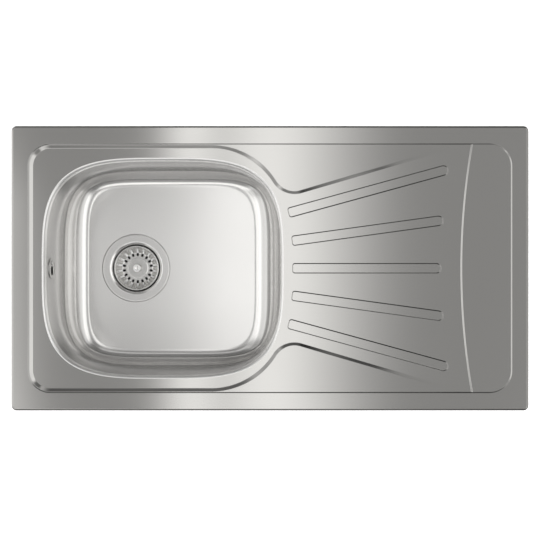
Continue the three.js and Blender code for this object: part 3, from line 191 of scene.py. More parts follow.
def material(name):
    """A new material, its nodes and its shader."""
    made = bpy.data.materials.new(name)
    made.use_nodes = True
    tree = Nodes(made.node_tree)
    output = tree.add("ShaderNodeOutputMaterial")
    shader = tree.add("ShaderNodeBsdfPrincipled")
    tree.link(shader.outputs[0], output.inputs[0])
    return made, tree, shader


def stretched(tree, scale, detail):
    """Noise on object coordinates, stretched by a scale for each axis."""
    place = tree.add("ShaderNodeTexCoord")
    mapping = tree.add("ShaderNodeMapping")
    mapping.inputs["Scale"].default_value = scale
    tree.link(place.outputs["Object"], mapping.inputs[0])
    noise = tree.add("ShaderNodeTexNoise")
    noise.inputs["Scale"].default_value = 1.0
    noise.inputs["Detail"].default_value = detail
    tree.link(mapping.outputs[0], noise.inputs["Vector"])
    return noise.outputs[0]


def steel(name, color, roughness, anisotropy, grain, bump, rough_span, metallic=1.0, wall=None):
    """Steel with a fine grain and a slow change of gloss; with wall, the bowl's wall takes a darker colour as painted
    shade, darkest in a band at the crease and darker on the rear wall.
    """
    made, tree, shader = material(name)
    shader.inputs["Metallic"].default_value = metallic
    shader.inputs["Anisotropic"].default_value = anisotropy
    fine = stretched(tree, grain, 2.0)
    cloud = stretched(tree, (7, 7, 7), 2.0)
    dark = tuple(c * 0.975 for c in color)
    tint = tree.mix(tree.math("MULTIPLY", fine, 0.7), color, dark)
    if wall:
        place = tree.add("ShaderNodeTexCoord")
        split = tree.add("ShaderNodeSeparateXYZ")
        tree.link(place.outputs["Object"], split.inputs[0])
        # Painted shade: above the crease the wall takes the darker wall colour, darkest just over the crease and
        # darker towards the rear; its metallic rises to 1 there.
        height = tree.smooth(split.outputs[2], *WALL_SHADE_SPAN)
        climb = tree.math("DIVIDE", tree.math("SUBTRACT", split.outputs[2], SHADE_FOOT), SHADE_RISE)
        front, rear = (tree.ramp(climb, [(level, tuple(c * share for c in wall)) for level, share in shares])
                       for shares in (PAINTED_WALL_SHADE, PAINTED_REAR_SHADE))
        back = tree.smooth(split.outputs[1], *REAR_SHADE_SPAN)
        tint = tree.mix(height, tint, tree.mix(back, front, rear))
        more = tree.math("MULTIPLY", height, 1 - metallic)
        tree.link(tree.math("ADD", more, metallic), shader.inputs["Metallic"])
    tree.link(tint, shader.inputs["Base Color"])
    rough = tree.math("ADD", tree.math("MULTIPLY", cloud, rough_span), roughness - rough_span / 2)
    rough = tree.math("ADD", rough, tree.math("MULTIPLY", fine, rough_span / 2))
    tree.link(rough, shader.inputs["Roughness"])
    if bump:
        node = tree.add("ShaderNodeBump")
        node.inputs["Strength"].default_value = bump
        node.inputs["Distance"].default_value = 0.00005
        tree.link(fine, node.inputs["Height"])
        tree.link(node.outputs[0], shader.inputs["Normal"])
    if anisotropy:
        along = tree.add("ShaderNodeCombineXYZ")
        along.inputs[0].default_value = 1.0
        tree.link(along.outputs[0], shader.inputs["Tangent"])
    return made


def moulded(name, color, roughness, grain=900.0, bump=0.25):
    """Plastic, rubber or foam with a fine speck."""
    made, tree, shader = material(name)
    speck = stretched(tree, (grain, grain, grain), 2.0)
    cloud = stretched(tree, (30, 30, 30), 3.0)
    light = tuple(min(1, c * 1.25 + 0.004) for c in color)
    tree.link(tree.mix(cloud, color, light), shader.inputs["Base Color"])
    rough = tree.math("ADD", tree.math("MULTIPLY", speck, 0.12), roughness - 0.06)
    tree.link(rough, shader.inputs["Roughness"])
    node = tree.add("ShaderNodeBump")
    node.inputs["Strength"].default_value = bump
    node.inputs["Distance"].default_value = 0.0001
    tree.link(speck, node.inputs["Height"])
    tree.link(node.outputs[0], shader.inputs["Normal"])
    return made


LENGTHWISE, EVEN = (12, 900, 900), (400, 400, 400)
DECK = steel("deck_steel", (0.605, 0.598, 0.582), 0.09, 0.3, LENGTHWISE, 0.02, 0.02)
# Painted shade on the bowl's wall, as (level, share of its colour), over a rise from just under its foot: a painted
# dark band at the crease, and darker painted shade on the rear wall.
WALL_SHADE_SPAN = (CREASE_Z - 5) * MM, (CREASE_Z + 1) * MM
SHADE_FOOT, SHADE_RISE = (CREASE_Z - 4) * MM, 44 * MM
REAR_SHADE_SPAN = 0.10, 0.14
PAINTED_WALL_SHADE = (0.0, 0.65), (0.1, 0.55), (0.2, 0.62), (0.5, 0.95), (1.0, 1.06)
PAINTED_REAR_SHADE = (0.0, 0.5), (0.1, 0.42), (0.2, 0.5), (0.5, 0.68), (1.0, 0.78)
# The bowl's steel: its satin finish (rougher, partly metallic) is its own, but its lighter colour is painted light
# for the light gathered in the bowl, and its wall colour is painted shade.
BOWL_PAINTED_LIGHT_AND_SHADE = steel("bowl_steel_painted_light_and_shade", (0.96, 0.952, 0.938), 0.16, 0.0, LENGTHWISE, 0.02, 0.03, 0.76, (0.52, 0.515, 0.505))
OUTSIDE = steel("outside_steel", (0.5, 0.495, 0.485), 0.34, 0.0, LENGTHWISE, 0.03, 0.05)
# A pale, half-metallic copy of the steel: painted highlights on the basket's grooves and on the knob's top.
PAINTED_HIGHLIGHT = steel("painted_highlight_steel", (0.98, 0.975, 0.965), 0.3, 0.0, LENGTHWISE, 0.02, 0.03, 0.35)
# A lighter copy of the steel for the bowl's lip: a painted highlight along the lip.
LIP_PAINTED_HIGHLIGHT = steel("lip_painted_highlight", (0.95, 0.945, 0.93), 0.2, 0.0, LENGTHWISE, 0.02, 0.03, 0.7)
BASKET = steel("basket_steel", (0.80, 0.795, 0.78), 0.14, 0.0, EVEN, 0.03, 0.03, 0.8)
ROSETTE = steel("rosette_steel", (0.62, 0.615, 0.60), 0.2, 0.0, EVEN, 0.03, 0.03, 0.9)
POLISHED = steel("polished_steel", (0.93, 0.922, 0.908), 0.13, 0.0, EVEN, 0.03, 0.03, 0.8)
ZINC = steel("zinc_plate", (0.55, 0.56, 0.57), 0.38, 0.0, (160, 160, 160), 0.2, 0.12)
BLACK = moulded("black_polypropylene", (0.030, 0.031, 0.033), 0.42)
WHITE = moulded("white_polypropylene", (0.78, 0.78, 0.76), 0.4)
RUBBER = moulded("rubber", (0.022, 0.022, 0.022), 0.7, 600, 0.4)
FOAM = moulded("seal_foam", (0.085, 0.085, 0.09), 0.85, 1400, 0.9)
BITUMEN = moulded("bitumen_sheet", (0.09, 0.09, 0.095), 0.75, 350, 0.8)


# ---- Mesh tools, in millimetres ----

def mesh_piece(name, points, faces, body, slot, look, replaced=(), sharp=None, normals=None):
    """A piece that rides a body, takes its look as its material and stands for the nodes that it replaces."""
    mesh = bpy.data.meshes.new(name)
    mesh.from_pydata((np.asarray(points, float) * MM).tolist(), [], [list(map(int, f)) for f in faces])
    mesh.polygons.foreach_set("use_smooth", [True] * len(mesh.polygons))
    if sharp:
        mesh.set_sharp_from_angle(angle=sharp * DEG)
    if normals is not None:
        mesh.normals_split_custom_set_from_vertices(np.asarray(normals, float).tolist())
    mesh.materials.append(look)
    mesh.update()
    piece = bpy.data.objects.new(name, mesh)
    bpy.context.scene.collection.objects.link(piece)
    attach(piece, body)
    if replaced:
        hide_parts(*replaced)
    return piece


def loft(rings, closed=False):
    """Points and faces of rings joined one to the next."""
    count = len(rings[0])
    around = np.arange(count)
    after = (around + 1) % count
    faces = []
    for k in range(len(rings) if closed else len(rings) - 1):
        low = k * count
        high = ((k + 1) % len(rings)) * count
        faces += np.stack([low + around, low + after, high + after, high + around], 1).tolist()
    return np.concatenate(rings), faces


def rounded(profile, radius=0.4, steps=3):
    """A closed profile of (radius, z) or (radius, z, corner radius) whose corners off the axis are eased."""
    out = []
    count = len(profile)
    for k, p in enumerate(profile):
        p = np.array(p[:2], float)
        r = profile[k][2] if len(profile[k]) > 2 else radius
        a = np.array(profile[k - 1][:2], float) - p
        b = np.array(profile[(k + 1) % count][:2], float) - p
        la, lb = np.hypot(*a), np.hypot(*b)
        r = min(r, la * 0.45, lb * 0.45)
        if p[0] < 1e-6 or r < 1e-3:
            out.append(p)
            continue
        start, end = p + a / la * r, p + b / lb * r
        for t in np.linspace(0, 1, steps + 1):
            out.append((1 - t) ** 2 * start + 2 * t * (1 - t) * p + t * t * end)
    return out


def turned(profile, steps=96, centre=(0, 0)):
    """A closed profile turned about +Z."""
    angles = np.arange(steps) * 2 * math.pi / steps
    rings = []
    for r, z in profile:
        r = max(r, 1e-4)
        rings.append(np.stack([centre[0] + r * np.cos(angles), centre[1] + r * np.sin(angles),
                               np.full(steps, z)], 1))
    return loft(rings, closed=True)


def carried(points, matrix):
    """Points moved by a matrix."""
    m = np.array(matrix)
    return points @ m[:3, :3].T + m[:3, 3]


def merge(parts):
    """One mesh's points and faces from those of several."""
    points, faces, base = [], [], 0
    for p, f in parts:
        points.append(p)
        faces += [[i + base for i in face] for face in f]
        base += len(p)
    return np.concatenate(points), faces


def prism(outline, low, high):
    """An upright closed solid on an outline."""
    ring = np.array(outline, float)
    count = len(ring)
    points = np.concatenate([np.c_[ring, np.full(count, low)], np.c_[ring, np.full(count, high)]])
    faces = loft([points[:count], points[count:]])[1]
    return points, faces + [list(range(count))[::-1], list(range(count, 2 * count))]


def cut(piece, cutters, sharp=35):
    """Takes closed shapes away from a piece."""
    points, faces = merge(cutters)
    mesh = bpy.data.meshes.new("cutter")
    mesh.from_pydata((points * MM).tolist(), [], faces)
    tool = bpy.data.objects.new("cutter", mesh)
    bpy.context.scene.collection.objects.link(tool)
    step = piece.modifiers.new("cut", "BOOLEAN")
    step.object = tool
    step.solver = "EXACT"
    bpy.context.view_layer.update()
    made = bpy.data.meshes.new_from_object(piece.evaluated_get(bpy.context.evaluated_depsgraph_get()))
    piece.modifiers.clear()
    piece.data = made
    made.polygons.foreach_set("use_smooth", [True] * len(made.polygons))
    made.set_sharp_from_angle(angle=sharp * DEG)
    bpy.data.objects.remove(tool)
    return piece


LEAN = np.array([-0.0225, 0.0, 0.99975])
LEVEL_UP_TO, LEAN_FADE = 2.5, 5.0


def circle(r, steps=48):
    return [(r * math.cos(a), r * math.sin(a)) for a in np.linspace(0, 2 * math.pi, steps + 1)[:-1]]


def leaned(piece, below):
    """Shades the level faces under a height as one plane that leans a little to the left."""
    mesh = piece.data
    normals = []
    for loop, corner in zip(mesh.loops, mesh.corner_normals):
        n = np.array(corner.vector)
        if n[2] > 0.98 and mesh.vertices[loop.vertex_index].co.z < below * MM:
            steep = math.degrees(math.acos(min(1.0, n[2])))
            share = 1 - ease(np.array((steep - LEVEL_UP_TO) / LEAN_FADE), 0.5)
            n = n + (LEAN - n) * share
            n = n / np.linalg.norm(n)
        normals.append(n.tolist())
    mesh.normals_split_custom_set(normals)
    return piece


# ---- Deck ----

def ease(t, a=0.4):
    """0 to 1 with rounded ends and a straight middle."""
    t = np.clip(t, 0, 1)
    k = 1 / (1 - a)
    late = 1 - k * (1 - t) ** 2 / (2 * a)
    return np.where(t < a, k * t * t / (2 * a), np.where(t > 1 - a, late, k * (t - a / 2)))


def ramp(x, start, width=16.0):
    """A slope of 1 that begins with a soft bend."""
    t = (x - start + width / 2) / width
    return np.where(t < 0, 0, np.where(t > 1, x - start, width * np.clip(t, 0, 1) ** 2 / 2))


def box_distance(x, y, half_x, half_y, r):
    """How far outside a rounded rectangle a point is."""
    qx = np.abs(x) - half_x + r
    qy = np.abs(y) - half_y + r
    return np.minimum(np.maximum(qx, qy), 0) + np.hypot(np.maximum(qx, 0), np.maximum(qy, 0)) - r


HALF_X, HALF_Y, HALF_R = PANEL_X - LEDGE, PANEL_Y - LEDGE, PANEL_R - LEDGE
SHOULDER_Y = HALF_Y - SHOULDER_R
NECK = (90 - SHOULDER_TURN) * DEG
NECK_AT = np.array([SHOULDER_X + (SHOULDER_R + NECK_R) * math.cos(NECK),
                    SHOULDER_Y + (SHOULDER_R + NECK_R) * math.sin(NECK)])
FAN_DIR = np.array([math.cos(FAN_ANGLE * DEG), math.sin(FAN_ANGLE * DEG)])
FAN_AT = NECK_AT + NECK_R * np.array([FAN_DIR[1], -FAN_DIR[0]])


def recess_distance(x, y):
    """How far outside the recess's edge a point is."""
    a = np.abs(y)
    qx = HALF_R - HALF_X - x
    qy = a - HALF_Y + HALF_R
    left = np.minimum(np.maximum(qx, qy), 0) + np.hypot(np.maximum(qx, 0), np.maximum(qy, 0)) - HALF_R
    convex = np.hypot(x - SHOULDER_X, a - SHOULDER_Y) - SHOULDER_R
    concave = NECK_R - np.hypot(x - NECK_AT[0], a - NECK_AT[1])
    along = (x - FAN_AT[0]) * FAN_DIR[0] + (a - FAN_AT[1]) * FAN_DIR[1]
    line = (a - FAN_AT[1]) * FAN_DIR[0] - (x - FAN_AT[0]) * FAN_DIR[1]
    turn = math.cos(NECK) * (a - SHOULDER_Y) - math.sin(NECK) * (x - SHOULDER_X)
    return np.where(x <= SHOULDER_X, left, np.where(turn >= 0, convex, np.where(along < 0, concave, line)))


def rib_distance(x, y, rib):
    """How far outside a rib's foot a point is."""
    c, s = math.cos(rib[3] * DEG), math.sin(rib[3] * DEG)
    u = (x - rib[0]) * c + (y - rib[1]) * s
    v = (y - rib[1]) * c - (x - rib[0]) * s
    half = RIB_W / 2
    r = np.where(u > rib[2] / 2, half, RIB_R)
    qx = np.abs(u - rib[2] / 2) - rib[2] / 2 + r
    qy = np.abs(v) - half + r
    return np.minimum(np.maximum(qx, qy), 0) + np.hypot(np.maximum(qx, 0), np.maximum(qy, 0)) - r


# The eased steps in the deck: how far outside its line each one starts, and how wide it is.
RIB_STEP, END_STEP, PANEL_STEP, RECESS_STEP = (1.35, 1.65), (0.7, 2.6), (0.5, 1.8), (0.6, 0.7)
RECESS_SPREAD, RECESS_ROUND = 1.2, 0.1


def deck_height(x, y):
    """The deck's top face: rim, panel, recess, rising fan, ribs and curved step."""
    fan = RECESS_Z + (FAN_HIGH_Z - RECESS_Z) / (FAN_HIGH_X - FAN_LOW_X) * ramp(x, FAN_LOW_X)
    shoulder = PANEL_Z + (FAN_HIGH_Z - PANEL_Z) / (FAN_HIGH_X - SHOULDER_X) * ramp(x, SHOULDER_X)
    wall = np.maximum(shoulder - fan, 0.02) * RECESS_DRAFT
    for rib in RIBS:
        fan = fan + RIB_H * ease((RIB_STEP[0] - rib_distance(x, y, rib)) / RIB_STEP[1])
    width = RECESS_SPREAD * wall + RECESS_STEP[1]
    inner = shoulder + (fan - shoulder) * ease((RECESS_STEP[0] - recess_distance(x, y)) / width, RECESS_ROUND)
    end = END_R - np.hypot(x - END_X - END_R, y)
    before = PANEL_Z + (inner - PANEL_Z) * ease((END_STEP[0] - end) / END_STEP[1])
    panel = box_distance(x, y, PANEL_X, PANEL_Y, PANEL_R)
    return RIM_Z + (before - RIM_Z) * ease((PANEL_STEP[0] - panel) / PANEL_STEP[1])


def around():
    return (np.arange(BOWL_STEPS) + 0.5) * 2 * math.pi / BOWL_STEPS


def superellipse(inset, z):
    """A level of the bowl: squarer with depth, steeper at the right, and raised to the right at the floor."""
    c, s = np.cos(around()), np.sin(around())
    depth = max(0.0, (WELD_Z - z) / (WELD_Z - WASTE_Z)) ** 3
    power = 2 / (BOWL_P + (FLOOR_P - BOWL_P) * depth)
    foot = max(0.0, inset - wall_inset(CREASE_Z))
    wall = inset - foot
    spread = foot / FILLET_REACH
    right = wall * WALL_RIGHT + foot * FOOT_RIGHT if inset > 0 else inset
    spread = SIDE_EASE * spread + (1 - SIDE_EASE) * spread ** 3
    side = WALL_SIDE * wall + FOOT_SIDE * spread if inset > 0 else inset
    x = (inset - right) / 2 + (BOWL_A - (inset + right) / 2) * np.sign(c) * np.abs(c) ** power
    y = (BOWL_B - side) * np.sign(s) * np.abs(s) ** power
    rise = FLOOR_FALL * depth * (0.5 + x / FLOOR_LENGTH)
    return np.stack([BOWL_X + x, y, z + rise], 1)


def corner_arc(cx, cy, r, start, steps=16):
    angle = (start + np.linspace(0, 90, steps + 1)) * DEG
    return np.stack([cx + r * np.cos(angle), cy + r * np.sin(angle)], 1)


def rectangle(half_x, half_y, r, steps=16):
    cx, cy = half_x - r, half_y - r
    return np.concatenate([corner_arc(cx, cy, r, 0, steps), corner_arc(-cx, cy, r, 90, steps),
                           corner_arc(-cx, -cy, r, 180, steps), corner_arc(cx, -cy, r, 270, steps)])


def arc(cx, cy, r, start, end, steps):
    angle = np.linspace(start, end, steps + 1) * DEG
    return np.stack([cx + r * np.cos(angle), cy + r * np.sin(angle)], 1)


def recess_line(out):
    """The recess's rear edge, moved out, from the fan's far end round to the middle of the left edge."""
    far = FAN_AT + FAN_DIR * FAN_EDGE + out * np.array([-FAN_DIR[1], FAN_DIR[0]])
    turn = NECK / DEG
    neck = arc(*NECK_AT, NECK_R - out, FAN_ANGLE - 90, turn - 180, 30)
    shoulder = arc(SHOULDER_X, SHOULDER_Y, SHOULDER_R + out, turn, 90, 48)
    corner = arc(HALF_R - HALF_X, HALF_Y - HALF_R, HALF_R + out, 90, 180, 24)
    return np.concatenate([[far], neck, shoulder, corner])


def rib_line(rib, out):
    half = RIB_W / 2
    outline = np.concatenate([
        arc(rib[2] - half, 0, half + out, -90, 90, 14),
        arc(RIB_R, half - RIB_R, RIB_R + out, 90, 180, 6),
        arc(RIB_R, RIB_R - half, RIB_R + out, 180, 270, 6)])
    c, s = math.cos(rib[3] * DEG), math.sin(rib[3] * DEG)
    return outline @ np.array([[c, s], [-s, c]]) + np.array(rib[:2])


def deck_lines():
    """Lines that the deck's triangles follow: (points, closed)."""
    lines = []
    for out in np.linspace(-1.35, 0.55, 8):
        lines.append((rectangle(PANEL_X + out, PANEL_Y + out, PANEL_R + out, 24), True))
    for out in np.linspace(-6.0, 0.9, 16):
        rear = recess_line(out)
        rear = rear[rear[:, 1] > 0]
        lines.append((np.concatenate([rear, (rear * (1, -1))[::-1]]), False))
    for rib in RIBS:
        for out in np.linspace(-0.35, 1.4, 8):
            lines.append((rib_line(rib, out), True))
    for out in np.linspace(-0.8, 2.0, 9):
        lines.append((arc(END_X + END_R, 0, END_R + out, 170, 190, 60), False))
    for x in (*np.linspace(-8, 8, 7) + FAN_LOW_X, *np.linspace(-8, 8, 5) + SHOULDER_X):
        lines.append((np.array([[x, -PANEL_Y - 2], [x, PANEL_Y + 2]]), False))
    return lines


def deck_top():
    """Points, triangles and normals of the deck between its rim's bevel and the bowl's lip."""
    rim_box = PLATE_X - RIM_WIDTH, PLATE_Y - RIM_WIDTH, PLATE_R - RIM_WIDTH
    rim = rectangle(*rim_box, 12)
    lip = superellipse(-LIP_R * math.cos(DRAFT), 0)[:, :2]
    points, edges = [], []
    for line, closed in [(rim, True), (lip, True), *deck_lines()]:
        base = len(points)
        points += line.tolist()
        edges += [(base + k, base + k + 1) for k in range(len(line) - 1)]
        if closed:
            edges.append((base + len(line) - 1, base))
    made = delaunay_2d_cdt([Vector(p) for p in points], edges, [], 0, 1e-5)
    flat = np.array([tuple(p) for p in made[0]])
    faces = np.array([f for f in made[2] if len(f) == 3])
    middle = flat[faces].mean(1)
    a = BOWL_A + LIP_R * math.cos(DRAFT)
    b = BOWL_B + LIP_R * math.cos(DRAFT)
    in_bowl = np.abs((middle[:, 0] - BOWL_X) / a) ** BOWL_P + np.abs(middle[:, 1] / b) ** BOWL_P < 0.99985
    in_rim = box_distance(middle[:, 0], middle[:, 1], *rim_box) < 0
    faces = faces[in_rim & ~in_bowl]
    area = np.cross(flat[faces[:, 1]] - flat[faces[:, 0]], flat[faces[:, 2]] - flat[faces[:, 0]])
    faces[area < 0] = faces[area < 0][:, ::-1]
    used = np.unique(faces)
    index = np.full(len(flat), -1)
    index[used] = np.arange(len(used))
    faces = index[faces]
    x, y = flat[used].T
    e = 0.02
    slope_x = (deck_height(x + e, y) - deck_height(x - e, y)) / (2 * e)
    slope_y = (deck_height(x, y + e) - deck_height(x, y - e)) / (2 * e)
    normals = np.stack([-slope_x, -slope_y, np.ones(len(x))], 1)
    normals /= np.linalg.norm(normals, axis=1)[:, None]
    return np.stack([x, y, deck_height(x, y)], 1), faces, normals


def deck():
    """The pressed plate: its top and underside, its bevelled rim and the lip down to the bowl's weld."""
    top, faces, normals = deck_top()
    under = top - normals * SHEET
    skin = merge([(top, faces.tolist()), (under, faces[:, ::-1].tolist())])
    normals = np.concatenate([normals, -normals])

    bevel = math.atan2(BEVEL_DROP, BEVEL_W)
    low = RIM_Z - BEVEL_DROP
    # Stations of (inset from the edge, height, tilt of the face).
    rim = [(RIM_WIDTH, RIM_Z, 0.0), (2.85, RIM_Z - 0.03, 0.3 * bevel), (2.5, RIM_Z - 0.13, 0.8 * bevel),
           (2.1, RIM_Z - 0.3, bevel), (0.75, low + 0.5, bevel), (0.35, low + 0.2, 0.5 * (bevel + 1.57)),
           (0.08, low - 0.2, 1.4), (0.0, low - 0.6, 1.57), (0.0, EDGE_Z + 0.15, 1.57), (0.15, EDGE_Z, 2.4),
           (0.65, EDGE_Z, 3.9), (0.8, EDGE_Z + 0.15, 4.71), (0.8, low - 0.9, 4.71), (RIM_WIDTH, RIM_Z - SHEET, 3.14)]
    outline = rectangle(PLATE_X, PLATE_Y, PLATE_R, 12)
    angle = np.concatenate([np.linspace(0, 90, 13) + q for q in (0, 90, 180, 270)]) * DEG
    out = np.stack([np.cos(angle), np.sin(angle)], 1)
    rings, rim_normals = [], []
    for inset, z, tilt in rim:
        rings.append(np.c_[outline - out * inset, np.full(len(outline), z)])
        rim_normals.append(np.c_[out * math.sin(tilt), np.full(len(outline), math.cos(tilt))])
    edge_points, edge_faces = loft(rings)
    edge_faces = [f[::-1] for f in edge_faces]

    centre = -LIP_R * math.cos(DRAFT)
    lip, lip_normals = [], []
    angles = np.linspace(0, math.pi / 2 - DRAFT, 12)
    stations = [(LIP_Z + LIP_R * math.cos(a), centre + LIP_R * math.sin(a), a) for a in angles]
    stations += [(z, wall_inset(z), math.pi / 2 - DRAFT) for z in np.linspace(LIP_Z - 1, WELD_Z, 5)]
    for z, inset, tilt in stations:
        ring = superellipse(inset, z)
        a, b = BOWL_A - inset, BOWL_B - inset
        x, y = ring[:, 0] - BOWL_X, ring[:, 1]
        across = np.stack([np.sign(x) * np.abs(x / a) ** (BOWL_P - 1) / a,
                           np.sign(y) * np.abs(y / b) ** (BOWL_P - 1) / b], 1)
        across /= np.linalg.norm(across, axis=1)[:, None]
        lip.append(ring)
        lip_normals.append(np.c_[-across * math.sin(tilt), np.full(len(ring), math.cos(tilt))])
    lip_points, lip_faces = loft(lip)
    lip_back = [ring - n * SHEET for ring, n in zip(lip, lip_normals)]
    back_points, back_faces = loft(lip_back)
    back_faces = [f[::-1] for f in back_faces]
    end_points, end_faces = loft([lip[-1], lip_back[-1]])
    lip_all = np.concatenate(lip_normals)
    points, all_faces = merge([skin, (edge_points, edge_faces), (lip_points, lip_faces),
                               (back_points, back_faces), (end_points, end_faces)])
    down = np.tile((0.0, 0.0, -1.0), (len(end_points), 1))
    normals = np.concatenate([normals, np.concatenate(rim_normals), lip_all, -lip_all, down])
    piece = mesh_piece("deck_skin", points, all_faces, "sink", "sink_steel", DECK, ["deck_plate"],
                       normals=normals)
    # The lip's faces take the painted highlight.
    piece.data.materials.append(LIP_PAINTED_HIGHLIGHT)
    first = len(skin[1]) + len(edge_faces)
    for face in piece.data.polygons[first:first + len(lip_faces)]:
        face.material_index = 1
    return piece


deck()

# ---- Bowl ----

def bowl():
    """The bowl's shell from the weld down to the waste's hole, with the overflow's hole through its wall."""
    def rings(grown):
        across, down = FILLET_REACH + grown, FILLET_RISE + grown
        made = [superellipse(wall_inset(z) - grown, z) for z in np.linspace(WELD_Z, CREASE_Z + 1, 24)]
        for angle in np.linspace(0.5, 90, 48) * DEG:
            made.append(superellipse(wall_inset(CREASE_Z) + FILLET_REACH - across * math.cos(angle),
                                     CREASE_Z - down * math.sin(angle)))
        inner = made[-1]
        seat = round_ring(SEAT_EDGE + 0.5 + grown, WASTE_Z)
        seat[:, 2] -= grown
        for t in np.linspace(0, 1, 15)[1:]:
            made.append(inner + (seat - inner) * t)
        return made

    def round_ring(r, z):
        turn = around()
        return np.stack([WASTE_X + r * np.cos(turn), r * np.sin(turn), np.full(BOWL_STEPS, z)], 1)

    inside, outside = rings(0), rings(SHEET)
    middle = [round_ring(SEAT_EDGE + 0.2, WASTE_Z - 0.02), round_ring(SEAT_EDGE, WASTE_Z - 0.2),
              round_ring(SEAT_EDGE, SEAT_Z + 0.3), round_ring(SEAT_EDGE - 0.3, SEAT_Z),
              round_ring(WASTE_HOLE, SEAT_Z), round_ring(WASTE_HOLE, SEAT_Z - SHEET),
              round_ring(SEAT_EDGE + 0.3, SEAT_Z - SHEET)]
    points, faces = loft(outside[::-1] + inside + middle, closed=True)
    piece = mesh_piece("bowl_shell", points, faces, "sink", "sink_steel", BOWL_PAINTED_LIGHT_AND_SHADE, ["bowl"], sharp=40)
    tool, tool_faces = prism(circle(OVERFLOW_R), -14, 14)
    piece = leaned(cut(piece, [(carried(tool, OVERFLOW), tool_faces)]), WASTE_Z + 6)
    piece.data.materials.append(OUTSIDE)
    middle = Vector((BOWL_X * MM, 0, -60 * MM))
    for face in piece.data.polygons:
        if face.normal.dot(face.center - middle) > 0:
            face.material_index = 1
    return piece


OVERFLOW_X = BOWL_X - BOWL_A + (LIP_Z + LIP_R * math.sin(CAD_DRAFT) - OVERFLOW_Z) * math.tan(CAD_DRAFT)
OVERFLOW = Matrix.Translation((OVERFLOW_X, 0, OVERFLOW_Z)) @ Matrix.Rotation(84 * DEG, 4, "Y")
bowl()


# ---- Waste and basket ----

WASTE = (WASTE_X, 0)


def strainer_cup():
    """The cup with its flange, its step for the seal and the six openings in its well."""
    t, top = 1.0, FLANGE_TOP
    profile = rounded([
        (57, top - 0.8, 0.3), (56.6, top - 0.25, 0.3), (55.6, top, 0.6), (44.6, top, 0.8), (41.7, top - 1.3, 1.0),
        (40.5, top - 2.8, 1.2), (39.5, CUP_SEAT + 5, 3), (34.5, CUP_SEAT, 3), (27, CUP_SEAT, 1.2),
        (26, WELL_Z, 1.5), (3.3, WELL_Z, 0.2), (3.3, WELL_Z - t, 0.2), (27, WELL_Z - t, 2), (28, CUP_SEAT - t, 1.2),
        (34.5, CUP_SEAT - t, 4), (40.5, CUP_SEAT + 5, 4), (41.5, top - 3.6, 1.5), (44.5, top - 1, 1),
        (57, top - 1, 0.2)])
    points, faces = turned(profile, 144, WASTE)
    piece = mesh_piece("cup_pressing", points, faces, "sink", "polished_steel", POLISHED, ["strainer_cup"],
                       sharp=50)
    hub, rim, half_spoke = 9.0, 24.0, 2
    tools = []
    for k in range(6):
        mid = k * 60 * DEG
        a = 30 * DEG - math.asin(half_spoke / hub)
        b = 30 * DEG - math.asin(half_spoke / rim)
        outline = [(WASTE_X + rim * math.cos(q), rim * math.sin(q)) for q in np.linspace(mid - b, mid + b, 13)]
        outline += [(WASTE_X + hub * math.cos(q), hub * math.sin(q)) for q in np.linspace(mid + a, mid - a, 5)]
        tools.append(prism(outline, WELL_Z - 3, WELL_Z + 2))
    return leaned(cut(piece, tools, 50), WASTE_Z)


strainer_cup()


